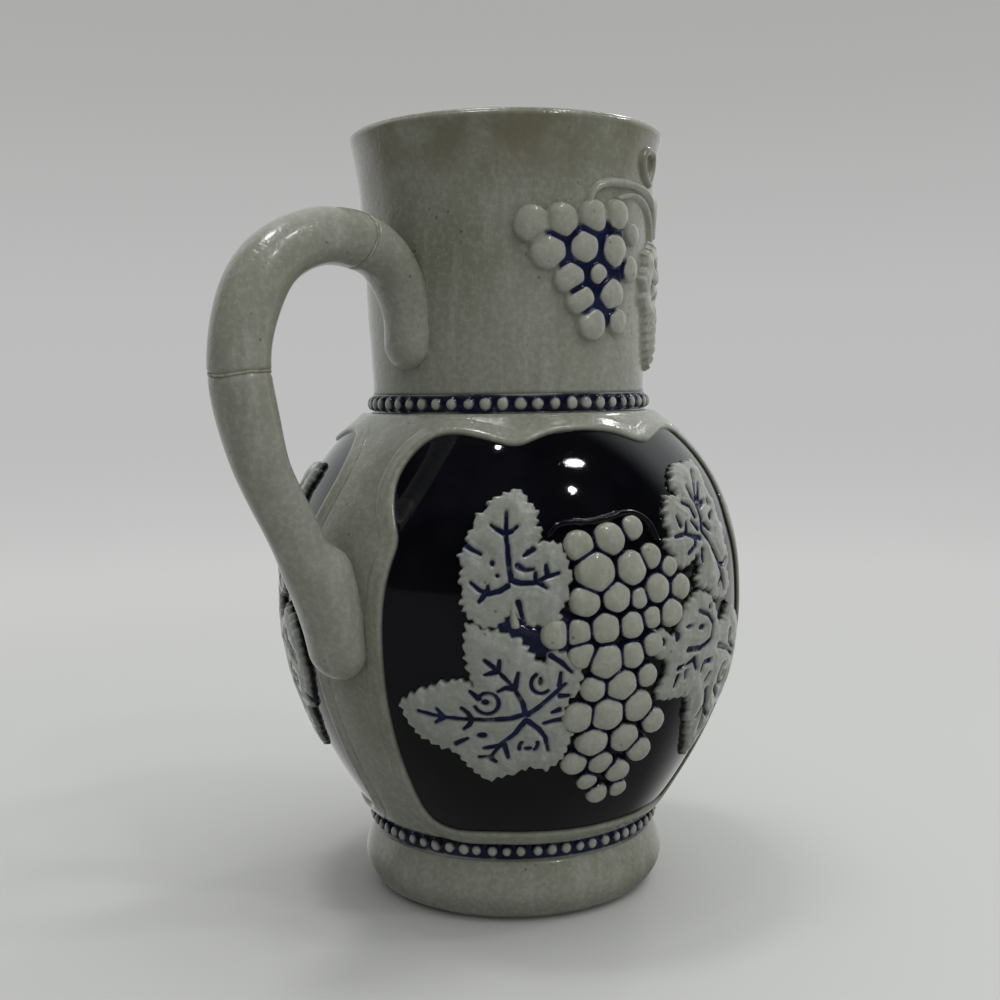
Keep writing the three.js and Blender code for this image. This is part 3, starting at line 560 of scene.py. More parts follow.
# Vine leaves, in millimetres round the point where the veins meet. An outline starts at one tip and runs
# round the leaf; teeth are a pitch and a depth. A vein starts at its thick end, a curl is (x, y, radius,
# start angle, sweep) and a dot (x, y, half width, half height).
LEAF_SHAPES = {
    "leaf_upper_left": {
        "place": (-23.4, 106),
        "teeth": (2.7, 0.85),
        "outline": [
            (2.1, 25.7), (-0.3, 24.8), (-2.8, 23.5), (-6.1, 21.9), (-6.5, 19.1), (-9.6, 18.2), (-9.8, 14.8),
            (-12.1, 12.4), (-11.8, 10), (-14.4, 6.4), (-13.2, 4.1), (-14.2, -0.2), (-12.9, -2.6),
            (-14, -5.6), (-12.4, -9.2), (-10.4, -11), (-7.8, -13), (-4, -12.4), (-1.6, -10.4), (0.2, -8.4),
            (2.2, -10.4), (4.4, -12.4), (7.6, -12.2), (10.6, -13.4), (13.9, -10.9), (13.1, -8.4),
            (16.2, -4.6), (15.2, -2.6), (17, 0.6), (15.7, 3.5), (15.3, 6.6), (13.3, 9.8), (10.4, 10.6),
            (7.6, 10.2), (8.9, 13.3), (7.2, 15), (7.6, 19), (5.2, 21.1), (3.9, 24),
        ],
        "veins": [
            [(0, 0), (-0.6, 5.3), (-1.2, 12.5), (-1, 18.4)],
            [(-1.2, 12.3), (-3, 13.4), (-5, 14.8)],
            [(-1.1, 12.6), (0.4, 13.2), (1.8, 14.4)],
            [(0, 0.1), (2.8, -0.7), (6.5, -0.5), (8.9, 0.7), (12.6, 1.8)],
            [(9.7, 1.4), (9.2, 4)],
            [(6.4, -0.4), (6.5, 2)],
            [(7.3, -0.5), (9.4, -2)],
            [(-1, -1.4), (-3.2, -2.8), (-6, -3.3), (-8.5, -2.4), (-10.6, -0.5)],
            [(-6.2, -3.2), (-6.1, -1.4)],
            [(-6.9, -3.4), (-8.6, -5.6)],
            [(5.8, 8.2), (3.5, 6.6)],
            [(1.8, 4), (3.6, 2.8), (5.8, 3)],
            [(-12.8, 10), (-10.5, 8.4), (-8, 7.1)],
            [(1.8, -5.6), (3.4, -11.4)],
        ],
        "curls": [],
        "dots": [(-4.9, 4.7, 0.7, 0.8), (-3.6, 1.4, 0.5, 0.4), (4.9, 7.7, 0.9, 0.7)],
    },
    "leaf_upper_right": {
        "place": (27.5, 114.5),
        "teeth": (2.7, 0.85),
        "outline": [
            (12, 23.4), (7, 22.6), (4.3, 22), (0.6, 22.6), (-3.7, 20.3), (-4.2, 18.1), (-6.6, 16),
            (-5.6, 13.6), (-5.6, 12.2), (-10.7, 12.9), (-12, 10.3), (-13.9, 7.7), (-13.7, 6.2),
            (-15.1, 4.6), (-13.6, 2.4), (-14.1, 0.9), (-16.9, -0.2), (-16.2, -2.7), (-14.2, -4.5),
            (-16.8, -5.8), (-14.7, -7.6), (-11.7, -8.6), (-8.7, -8.2), (-5.8, -6.7), (-3.6, -5), (-3, -9.4),
            (-5.8, -12.2), (-4, -15), (0.4, -15.8), (2.6, -18.6), (6.8, -20), (10.8, -19.2), (14.4, -16.4),
            (13, -11.4), (15.2, -6.8), (13.4, -2.4), (15, 1.4), (12.6, 4.4), (13.8, 8.4), (11.6, 12.5),
            (13.3, 18.1),
        ],
        "veins": [
            [(0.2, 1), (1.2, 5), (1.2, 7.8), (2.3, 11.3), (4.8, 15.5), (6.9, 18.8)],
            [(1.2, 7.8), (3.4, 8.4), (5.9, 9.4)],
            [(0.2, 1), (2.4, -1.6), (3.8, -4)],
            [(2.2, 2.7), (4.4, 0.9)],
            [(6.2, 4.4), (8.6, 5.8)],
            [(-1.6, 5.4), (-2.6, 8.5), (-5.4, 9.9)],
            [(-1.8, 1.8), (-3.9, 4.2)],
            [(-9.2, 3.4), (-9.8, 5.9)],
            [(-7.5, 1.1), (-6.6, 3.9)],
            [(-1.6, -0.8), (-5, -0.1), (-7.8, 1), (-12.4, 0.4)],
            [(-4.1, -0.8), (-4.7, -2.8), (-8.1, -4.7)],
            [(-1.5, -4.3), (-2.1, -7.6)],
            [(1.3, 8.6), (0, 11.4), (-0.2, 14.2)],
            [(3.2, 10), (6.9, 14.6)],
            [(3.8, -4), (6.2, -8), (8.2, -13), (8.8, -16.6)],
            [(6.8, -9.4), (9.8, -9.6), (11.6, -8)],
            [(8.1, -12.8), (5.6, -15)],
        ],
        "curls": [],
        "dots": [(5.1, 9.2, 1, 0.7), (8.2, 8.8, 0.6, 0.9)],
    },
    "leaf_lower_left": {
        "place": (-20.5, 69),
        "teeth": (3.1, 1.05),
        "outline": [
            (-36, 2.4), (-33, 4.6), (-29.8, 6.6), (-26.4, 7.6), (-23.1, 9.6), (-21, 9.4), (-18.4, 10.6),
            (-15.6, 9.8), (-13.8, 9), (-15.8, 12.6), (-16.6, 17.5), (-16.8, 21.7), (-16, 26), (-13.6, 26.2),
            (-9.8, 24.2), (-7.4, 24.4), (-4.4, 22.8), (-1.7, 22), (0.4, 19.6), (1.9, 17.4), (4, 14.8),
            (5.6, 15.8), (6.6, 19), (9.1, 18.4), (13.1, 16.4), (15.9, 12), (14.9, 6.2), (11.4, 3),
            (10.8, -1.6), (13.2, -6.6), (12.4, -9.6), (10.7, -14.8), (6.4, -18.8), (1.9, -17.4),
            (-3.6, -19.8), (-9.9, -22.2), (-13.4, -19.6), (-16.1, -16.4), (-19.1, -12.4), (-23.7, -11),
            (-29.9, -7.8), (-34, -2.4),
        ],
        "veins": [
            [(0, 0.6), (-4, -0.8), (-9.5, -1.2), (-16.2, -1.2), (-23.6, -0.6), (-29.6, 0.6)],
            [(-14.5, -1.2), (-15.6, 0.8), (-17.3, 2.2)],
            [(-14.5, -1.3), (-15.2, -2.8), (-16.6, -4.2)],
            [(-22.3, -0.8), (-24.2, 1.6)],
            [(-22.3, -0.8), (-24.6, -2.6)],
            [(-0.1, 0.4), (-0.7, 3.4), (-2.7, 7.4), (-4.7, 10.1), (-7.4, 12.9)],
            [(-7.4, 13), (-8.8, 14.4), (-10.9, 16)],
            [(-7.4, 12.9), (-7, 16)],
            [(-7.8, 12.8), (-10.9, 12)],
            [(-2.8, 8.2), (-2.5, 10.4), (-2, 12.4)],
            [(-3.2, 7.9), (-5.4, 8.3), (-7.4, 7.3)],
            [(0.6, 0.3), (4, 2.9), (7.4, 6), (10.6, 8.9)],
            [(9.1, 8.7), (9.4, 12.2)],
            [(9.3, 5.6), (11.6, 5.5)],
            [(9.9, -1.5), (7.4, -1.8), (5, -2.5)],
            [(9, 1.4), (7.1, 0.7)],
            [(0, -1.5), (-2.7, -5.4), (-6.8, -9.1), (-9.6, -13.7)],
            [(-6.4, -9.2), (-11.2, -10.2)],
            [(-5.7, -9), (-4.6, -13.4)],
            [(-9.2, -13.2), (-12.4, -13.2)],
            [(-9.4, -13.6), (-7.9, -14.8)],
            [(0.6, -1.7), (3.4, -4), (5.4, -7.1), (6.2, -11.3)],
            [(-18.9, -9.1), (-15.7, -7.2)],
            [(-12.6, 5.2), (-14.9, 7.2)],
            [(6.8, 17), (9.6, 15), (12.4, 12.2)],
        ],
        "curls": [
            (-10.3, 3.9, 3.5, 200, 290), (4.3, 9.2, 3.1, 120, 190), (0.7, -9.4, 2.8, 20, -60),
            (0.9, -9.6, 2.7, 200, -55),
        ],
        "dots": [
            (-10.8, 4.1, 1.1, 0.8), (3.9, 10.2, 0.6, 1.1), (0.8, -10.4, 1.2, 0.7), (-11.7, -6.1, 1.4, 0.9),
        ],
    },
    "leaf_lower_right": {
        "place": (28.8, 83),
        "teeth": (2.9, 0.6),
        "outline": [
            (-6.3, 16.6), (-11.6, 13.6), (-14.6, 9.2), (-16.4, 5), (-18.8, 5.4), (-20.5, 7.4), (-24.4, 7.4),
            (-26.4, 3.7), (-23.4, -0.6), (-18.6, -2.4), (-18.8, -6.2), (-21, -11.4), (-19.4, -14),
            (-14.4, -14.4), (-10.7, -14.5), (-6.9, -15), (-5.4, -18), (-4.4, -19.4), (-5, -21.8),
            (-2.3, -24.2), (-0.3, -28.8), (2.7, -33.6), (5.2, -38), (8, -36), (9.8, -32.2), (13.4, -27.6),
            (14.4, -22.4), (19.3, -20.9), (21.6, -16), (24.4, -9.9), (24, -5.2), (22.9, 1.8), (19.4, 6.8),
            (13.1, 10.4), (9.4, 6.4), (5.9, 5), (4, 6.8), (3, 10.2), (-0.3, 14.6),
        ],
        "veins": [
            [(-10.9, 0), (-5.5, -0.4), (0.1, 1.5), (0.6, 6.1), (-2.1, 8.9), (-6.6, 10.6)],
            [(-14.3, -4.9), (-12.2, -4.4)],
            [(-14, -7.2), (-14.8, -10.1)],
            [(-10.7, -6.5), (-10.6, -8.2)],
            [(-7.6, -3.2), (-5.8, -6.4)],
            [(1.1, -5), (-2.4, -5), (-3.2, -7.4)],
            [(1.8, -9.2), (0, -11.1)],
            [(-7.9, -3.1), (-10.9, -4.4)],
            [(13, 1.8), (12.9, -0.9), (18.8, -4.2)],
            [(4.9, -1), (12.4, -3.3), (18.8, -6.3)],
            [(19.4, -17), (20.4, -19.6)],
            [(2, -14), (4.6, -20), (6, -28)],
            [(4.2, -19), (1.4, -23)],
            [(4.8, -21), (8.8, -24)],
            [(8, -14.6), (11.8, -18.4)],
        ],
        "curls": [(12.4, -11.4, 3.4, 100, 260)],
        "dots": [
            (-22, 3.6, 1.4, 1.3), (-5.3, 5.8, 1.4, 0.7), (-11, 6.7, 1.6, 0.6), (-1.4, 11, 0.6, 0.8),
            (-15.8, 4.4, 1, 1.4), (12.6, -11.2, 0.8, 0.9),
        ],
    },
}


# Incised lines of a leaf: their widths from the thick end to the thin one, and their depth
VEIN_WIDTHS = (1.6, 0.95)
CURL_WIDTHS = (1.1, 0.9)
VEIN_DEPTH = 0.95
LEAF_EDGE_SLOPE = 2.2
LEAF_PROUD = 1.9


def leaf_relief(shape, proud, seed):
    """Relief of a vine leaf: toothed edge, soft pillows and incised veins, curls and dots."""
    outline = serrated(np.array(shape["outline"]), shape["teeth"], seed)
    veins = [(np.array(vein, float), VEIN_WIDTHS) for vein in shape["veins"]]
    veins += [(hook(*curl), CURL_WIDTHS) for curl in shape["curls"]]

    def relief(x, y):
        d = inside_distance(x, y, outline)
        groove = np.full(x.shape, 1e9)
        for vein, widths in veins:
            groove = np.minimum(groove, distance_to_path(x, y, vein, widths=widths))
        for dot_x, dot_y, half_width, half_height in shape["dots"]:
            stretched = np.hypot((x - dot_x) / half_width, (y - dot_y) / half_height) - 1
            groove = np.minimum(groove, stretched * min(half_width, half_height))
        groove = groove + 0.14 * ripple(x * 1.4, y * 1.4, seed + 2)
        pillow = smooth(0.3, 4.5, d) * smooth(-0.2, 3, groove)
        top = proud * (0.74 + 0.3 * pillow) + 0.16 * ripple(x * 0.5, y * 0.5, seed)
        up = softer_of(LEAF_EDGE_SLOPE * d + 0.15, top, 3.5)
        inner = smooth(0.1, 0.7, d)
        up = up - VEIN_DEPTH * (1 - smooth(-0.45, 0.4, groove)) * inner
        up = up + 0.14 * np.exp(-(((groove - 0.75) / 0.4) ** 2)) * smooth(0.5, 1.5, d)
        painted = (1 - smooth(-0.28, 0.3, groove)) * smooth(-0.3, 0.2, d)
        rim = 1 - smooth(-0.1, 0.3, d + 0.15 * ripple(x * 1.3, y * 1.3, seed + 1))
        return up, {"cobalt": painted, "panel": rim}

    return relief


def span_of(outline, margin=1.6):
    """Lowest and highest corner of a sprig's grid: the box of its outline and a margin."""
    outline = np.asarray(outline, float)
    return outline.min(axis=0) - margin, outline.max(axis=0) + margin


def make_leaves(material):
    """The four leaves of each panel."""
    for panel, middle in PANELS.items():
        for seed, (leaf, shape) in enumerate(LEAF_SHAPES.items()):
            turned, height = shape["place"]
            name = f"{panel}_{leaf}"
            relief = leaf_relief(shape, LEAF_PROUD, seed + 20)
            span = span_of(shape["outline"])
            make_sprig(f"{name}_sprig", BELLY_WALLED, middle + turned, height, span, relief, material, name)


# Berries of a bunch: x and y from the bunch's top middle, and radius
PANEL_BERRIES = [
    (-10, 0.6, 3.7), (-1.1, 2, 4), (6.3, 4.7, 2.9),
    (-6, -6.6, 4.9), (4.6, -6.2, 4.2), (11.1, -3.5, 3.1),
    (-9.4, -14.2, 3.8), (-0.4, -13.6, 3.8), (6.6, -14.5, 2.7), (12.9, -12.4, 3.7), (21.1, -12.8, 3.3),
    (17.4, -7, 2.6), (-17.7, -22.8, 3.5), (-11.5, -22.7, 3.4), (-3.8, -21.9, 3.8), (4.2, -21.6, 3.4),
    (10.7, -20, 2.9), (17.7, -19.4, 3.6), (-10.4, -28.6, 3.4), (-3.2, -31.2, 4.4), (4.4, -30, 3.5),
    (11, -27.6, 3), (-6.4, -38.6, 3.4), (1.8, -38.4, 4.2), (9.7, -36.4, 3), (-9.8, -46.9, 4),
    (-1.5, -46.7, 4.5), (7.7, -45.3, 4.2), (-4.8, -55.2, 4.1), (5, -55, 4), (14.2, -51, 3.4),
    (-8.8, -61.9, 3.3), (-1, -62.6, 3.3), (11.1, -60.1, 3.5), (5.3, -66.6, 3.4), (-3.8, -68.9, 2.6),
    (6.9, -73.4, 2.6), (0.6, -74.4, 2.9),
]
NECK_BERRIES = [
    (-15.7, -2.8, 4.6), (-7.1, -2, 4.6), (3.1, -0.2, 4.2), (11.9, 0.7, 4),
    (-10.8, -10.1, 4.8), (-0.2, -8.8, 4.4), (11, -9.4, 4.4), (19.4, -4.3, 2.9),
    (-4.4, -17.7, 4.2), (4.9, -16.4, 2.9), (18.4, -14.4, 3.4),
    (-0.9, -23.8, 4), (10.2, -22.1, 4.2), (3.3, -30.6, 4.2), (12.9, -29.6, 3.4),
]
# How far a bunch's ground reaches past its berries and how much they swell, as shares of a berry's radius
BERRY_REACH = 1.06
BERRY_SWELL = 1.26
# Heights of a berry's top, as a plain height and a share of its radius, and of the valleys between berries
BERRY_TOP = 1.55
BERRY_TOP_SHARE = 0.24
VALLEY_UP = 1.05
BERRY_ROUNDNESS = 0.56
BUNCH_EDGE_SLOPE = 1.9
BUNCH_MARGIN = 6.5
PANEL_BUNCH_TOP = 114
NECK_BUNCH_TOP = RIM - 29
# The neck's bunches, in steps of the garland from its middle
NECK_BUNCHES = {"right": -2, "front": 0, "left": 2}


def bunch_relief(berries, seed, swell=BERRY_SWELL, valley_half=0.2, brush=0.4):
    """Relief of a bunch: domes pressed flat against each other, with narrow painted valleys between them."""
    sizes = [radius * swell for _, _, radius in berries]

    def relief(x, y):
        dome = np.full(x.shape, -1.0)
        inside = np.full(x.shape, -1e9)
        reach = np.full(x.shape, -1e9)
        for number, ((bx, by, _), size) in enumerate(zip(berries, sizes)):
            squared = (x - bx) ** 2 + (y - by) ** 2
            own = size - np.sqrt(squared)
            reach = np.maximum(reach, own - (1 - BERRY_REACH / swell) * size)
            for (ox, oy, _), other in zip(berries, sizes):
                apart = math.hypot(ox - bx, oy - by)
                if 0 < apart < size + other + 1.5:
                    shared = ((x - ox) ** 2 + (y - oy) ** 2 - other**2 - squared + size**2) / (2 * apart)
                    own = softer_of(own, shared - valley_half, 2.6)
            share = np.clip(own / (0.92 * size), 0, 1)
            height = BERRY_TOP + BERRY_TOP_SHARE * size + 0.12 * math.sin(seed + 2.1 * number)
            rise = (1 - (1 - share) ** 2) ** BERRY_ROUNDNESS
            dome = np.maximum(dome, VALLEY_UP + (height - VALLEY_UP) * rise)
            inside = np.maximum(inside, own)
        skirt = softer_of(BUNCH_EDGE_SLOPE * (reach + 0.5), np.full(x.shape, VALLEY_UP), 5)
        up = np.where(inside > 0, np.minimum(dome, BUNCH_EDGE_SLOPE * (reach + 0.62) + 0.5), skirt)
        up = np.maximum(up, skirt)
        painted = 1 - smooth(0, brush, inside + 0.12 * ripple(x * 1.2, y * 1.2, seed))
        rim = 1 - smooth(0.1, 0.6, reach + 0.55 + 0.2 * ripple(x * 1.2, y * 1.2, seed + 5))
        return up, {"cobalt": painted, "panel": 0.7 * rim * painted}

    return relief


def make_panel_bunches(material):
    """The bunch of grapes of each panel."""
    span = span_of([(bx, by) for bx, by, _ in PANEL_BERRIES], BUNCH_MARGIN)
    for seed, (panel, middle) in enumerate(PANELS.items()):
        name = f"{panel}_grape_bunch"
        relief = bunch_relief(PANEL_BERRIES, seed)
        make_sprig(f"{name}_sprig", BELLY_WALLED, middle, PANEL_BUNCH_TOP, span, relief, material, name)


# The painted middle of the neck's bunch
NECK_BUNCH_CORE = [
    (-12.4, -4.6), (-2.6, -2.6), (7.6, -1), (15.4, -2.4), (16.8, -14), (14.8, -22), (9.4, -32), (-2, -27.4),
    (-8, -15),
]


def neck_bunch_relief(seed):
    """The neck's bunch: the blue stays in its inner valleys, and its outside is plain."""
    plain = bunch_relief(NECK_BERRIES, seed, swell=1.16, valley_half=0.5, brush=0.55)

    def relief(x, y):
        up, masks = plain(x, y)
        within = smooth(-1.2, 1.6, inside_distance(x, y, NECK_BUNCH_CORE))
        ground = 1.6 * within - 0.8
        return np.maximum(up, ground), {"cobalt": masks["cobalt"] * within}

    return relief


def make_neck_bunches(material):
    """The three bunches of grapes round the neck."""
    span = span_of([(bx, by) for bx, by, _ in NECK_BERRIES], BUNCH_MARGIN)
    for seed, (side, steps) in enumerate(NECK_BUNCHES.items()):
        name = f"neck_bunch_{side}"
        middle = GARLAND_TURN + steps * GARLAND_STEP_ANGLE
        relief = neck_bunch_relief(seed + 8)
        make_sprig(f"{name}_sprig", NECK_WALLED, middle, NECK_BUNCH_TOP, span, relief, material, name)


# Hanging leaf of the neck, round the middle of its upper part: the left half of its outline, top to tip
HANGING_LEAF_HALF = [
    (-4.4, 12.4), (-7.6, 9.8), (-11.4, 8.8), (-11, 4.6), (-13.6, 1), (-11.2, -2.4), (-11.8, -6.4), (-8.8, -9),
    (-7.6, -14), (-5.8, -20), (-3, -24.4),
]
HANGING_LEAF = {
    "teeth": (2.9, 0.8),
    "outline": [
        (0, 11), *HANGING_LEAF_HALF, (0, -26.6), *((-x, y) for x, y in reversed(HANGING_LEAF_HALF)),
    ],
    "veins": [
        [(0, 7), (0, 2), (0, -5)],
        [(0, 3), (-4, 6.4)],
        [(0, 3), (4, 6.4)],
        [(0, -1), (-6, 0.6)],
        [(0, -1), (6, 0.6)],
        [(-1, -4), (-5, -5.4)],
        [(1, -4), (5, -5.4)],
    ],
    "curls": [],
    "dots": [(-6.4, -1.6, 0.6, 1.3), (6.4, -1.6, 0.6, 1.3)],
}
HANGING_LEAF_HEIGHT = RIM - 46.4
HANGING_LEAF_PROUD = 2.7
TWIST_PITCH = 3.4

# Stems round the hanging leaf, and their widths from end to end
NECK_VINE = [
    (-38, 3.8), (-36.8, 7), (-32.6, 9.4), (-26, 10), (-18, 9.8), (-11.6, 9), (-5.6, 6.6), (-2.2, 2.6),
    (-0.8, -3),
]
NECK_VINE_WIDTHS = (2.4, 3.1, 2.8)
SHORT_VINE = [(-27, 5.6), (-21.6, 7), (-15, 6.4), (-8.6, 3.4), (-4.6, -1.4), (-3, -6)]
SHORT_VINE_WIDTHS = (1.8, 2.6, 2.8)
NECK_TENDRIL = [
    (-9.6, 11.2), (-14.6, 14.6), (-15.8, 18.4), (-13, 20.8), (-8.6, 19.8), (-7.6, 16), (-10, 11.6),
]
NECK_TENDRIL_WIDTHS = (2, 3, 2.2)
VINE_PROUD = 1.6
SHORT_VINE_PROUD = 1.4
STEM_MARGIN = 3


def hanging_leaf_relief(seed):
    """The hanging leaf: fuller than the panels' leaves, its lower half twisted like a rope."""
    leaf = leaf_relief(HANGING_LEAF, HANGING_LEAF_PROUD, seed)

    def relief(x, y):
        up, masks = leaf(x, y)
        twist = np.sin((y + 0.9 * np.abs(x)) * 2 * math.pi / TWIST_PITCH)
        lower = smooth(-6, -10, y)
        bulge = 0.9 * smooth(10, 0, np.hypot(x * 0.9, y - 1))
        change = 0.42 * twist * lower + bulge - 0.45 * lower * smooth(0, 5, np.abs(x))
        return up + np.where(up > 0.2, change, 0), {"cobalt": masks["cobalt"]}

    return relief


def rod_relief(path, widths, proud):
    """Relief of a rounded rod along a path; its width runs from the first value to the last."""
    path = catmull_rom(path, 6)
    widths = np.interp(np.linspace(0, 1, len(path)), np.linspace(0, 1, len(widths)), widths)

    def relief(x, y):
        up = np.full(x.shape, BURIED)
        for (ax, ay), width in zip(path, widths):
            share = np.hypot(x - ax, y - ay) / (width / 2)
            up = np.maximum(up, proud * np.sqrt(np.clip(1.1 - share**2, 0, None)) - 0.35 * share)
        return up, {"cobalt": np.zeros(x.shape)}

    return relief


def make_garland(material):
    """Leaves, vines and tendrils of the neck."""
    for side, turn in (("right", -1), ("left", 1)):
        middle = GARLAND_TURN + turn * GARLAND_STEP_ANGLE
        leaf = hanging_leaf_relief(31)
        span = span_of(HANGING_LEAF["outline"])
        name = f"neck_leaf_{side}"
        make_sprig(f"{name}_sprig", NECK_WALLED, middle, HANGING_LEAF_HEIGHT, span, leaf, material, name)
        backwards = np.array([-turn, 1])
        forwards = np.array([turn, 1])
        stems = {
            f"neck_vine_{side}_back": (NECK_VINE * backwards, NECK_VINE_WIDTHS, VINE_PROUD),
            f"neck_vine_{side}_front": (NECK_VINE * forwards, NECK_VINE_WIDTHS, VINE_PROUD),
            f"neck_tendril_{side}": (NECK_TENDRIL * backwards, NECK_TENDRIL_WIDTHS, VINE_PROUD),
            f"neck_short_vine_{side}": (SHORT_VINE * backwards, SHORT_VINE_WIDTHS, SHORT_VINE_PROUD),
        }
        for name, (path, widths, proud) in stems.items():
            relief = rod_relief(path, widths, proud)
            span = span_of(path, STEM_MARGIN)
            nodes = [name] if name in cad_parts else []
            make_sprig(f"{name}_sprig", NECK_WALLED, middle, NECK_BUNCH_TOP, span, relief, material, *nodes)


# Stalk of the panel's bunch, round the bunch's top middle
PANEL_STALK = [
    (-17.6, 4.2), (-15.2, 6.4), (-11.3, 7.2), (-5.6, 7.1), (0.5, 8), (4.4, 9), (8.6, 8.6), (12.6, 5.6),
    (14.4, 1.4),
]
PANEL_STALK_WIDTHS = (2, 2.7, 1.9)
PANEL_STALK_PROUD = 1.8

# Twig between the left leaves and the ground brushed round it, placed as the lower leaf is
TWIG = [(-3.4, 32.4), (-3.2, 30), (-3, 27.6), (-2.7, 25.6)]
TWIG_WIDTHS = (0.9, 2, 2.6)
TWIG_PROUD = 1.7
TWIG_END = [(-2.6, 25.4), (-0.6, 24.4), (2.4, 23.2), (6, 21.8), (9.6, 20.4)]
TWIG_END_WIDTHS = (2, 3, 2.4)
TWIG_END_PROUD = 0.9
TWIG_GROUND = [
    (-12, 26), (-9, 30), (-6, 35), (-1, 35), (4, 32), (9, 30), (14, 27), (16.5, 22), (16, 17), (12, 15),
    (6, 16), (2, 16), (-2, 20), (-7, 22),
]


def make_panel_stalks(material):
    """The stalk that the leaves and the bunch hang from, under the panel's dark glaze."""
    rod = rod_relief(PANEL_STALK, PANEL_STALK_WIDTHS, PANEL_STALK_PROUD)
    span = span_of(PANEL_STALK, STEM_MARGIN)

    def relief(x, y):
        up, _ = rod(x, y)
        return up - PANEL_SUNK * 0.5, {"panel": np.ones(x.shape)}

    for panel, middle in PANELS.items():
        make_sprig(f"{panel}_stalk_sprig", BELLY_WALLED, middle, PANEL_BUNCH_TOP, span, relief, material)


def make_twigs(material):
    """Between the left leaves: a pale twig over ground brushed with cobalt."""
    rod = rod_relief(TWIG, TWIG_WIDTHS, TWIG_PROUD)
    end = rod_relief(TWIG_END, TWIG_END_WIDTHS, TWIG_END_PROUD)
    turned, height = LEAF_SHAPES["leaf_lower_left"]["place"]

    def relief(x, y):
        raised, _ = rod(x, y)
        washed, _ = end(x, y)
        d = inside_distance(x, y, TWIG_GROUND)
        ground = softer_of(0.9 * d - 0.4, np.full(x.shape, 0.1)) + 0.25 * ripple(x * 0.9, y * 0.9, 77)
        up = np.maximum(np.maximum(raised, washed), ground)
        bare = np.maximum(smooth(0.35, 0.8, raised), 0.25 * smooth(0.3, 0.8, washed))
        edge = 1 - smooth(0.2, 2.2, d)
        return up, {"cobalt": 1 - bare, "panel": edge * (1 - bare)}

    span = span_of(TWIG_GROUND, STEM_MARGIN)
    for panel, middle in PANELS.items():
        make_sprig(f"{panel}_twig_sprig", BELLY_WALLED, middle + turned, height, span, relief, material)


def make_neck(material):
    """The neck: an even taper turned out at a rounded rim and pulled into a lip."""
    half = RIM_THICKNESS / 2
    heights = np.linspace(NECK_BAND_TOP, RIM - half * 0.8, 70)
    outside = [(float(neck_radius(z)), z) for z in heights]
    middle = outside[-1][0] - half
    rim = arc((middle, RIM - half), half, 12, 168, 14)
    inner = np.linspace(RIM - half * 1.3, NECK_BAND_TOP, 24)
    inside = [(min(middle - half, float(neck_radius(z)) - NECK_WALL), z) for z in inner]
    inside.append((COLLAR_RADIUS - NECK_WALL, SHOULDER))
    seat = COLLAR_RADIUS - BAND_SEAT
    profile = [(seat, SHOULDER), (seat, NECK_BAND_TOP), *outside, *rim, *inside]

    def shift(r, z, azimuth):
        """The pulled lip and the unevenness of throwing."""
        return lip_reach(azimuth, z) + thrown(r, z, azimuth)

    points, faces, _, _ = turned_ring(profile, NECK_SEGMENTS, shift)
    return present(build_mesh("neck_ware", points, faces), material, "salt_glaze", "neck")


# Bead bands: how many beads and their radii
FOOT_BEADS = 64
FOOT_BEAD_RADIUS = 1.75
NECK_BEADS = 54
NECK_BEAD_RADIUS = 2
# How finely the bands are made, how deep the strip sits, how proud the strip, its edges and its beads stand,
# how far outside the seat the beads are spaced, and how uneven their places and sizes are
COLUMNS_PER_BEAD = 12
BAND_ROWS = 19
STRIP_DEPTH = 0.9
STRIP_PROUD = 0.55
STRIP_EDGE_PROUD = 0.35
BEAD_PROUD = 1.75
BEAD_FOOT = 1.5
BEAD_STRAY = 0.18
BEAD_SIZE_STRAY = 0.05


def bead_paint(dome, azimuth, across, edge_share, beads):
    """Cobalt between the beads, worn at the strip's edges, and where it pools."""
    painted = 1 - smooth(0.5, 1.8, dome + 0.3 * ripple(azimuth * 0.7, across, beads))
    worn = 0.6 + 0.4 * ripple(azimuth * 0.15, across * 0.6, beads + 6)
    painted = painted * (1 - worn * smooth(0.62, 1, edge_share))
    pool = painted * smooth(-0.2, 0.5, ripple(azimuth * 0.12, across * 0.4, beads + 3))
    return painted, 0.8 * pool


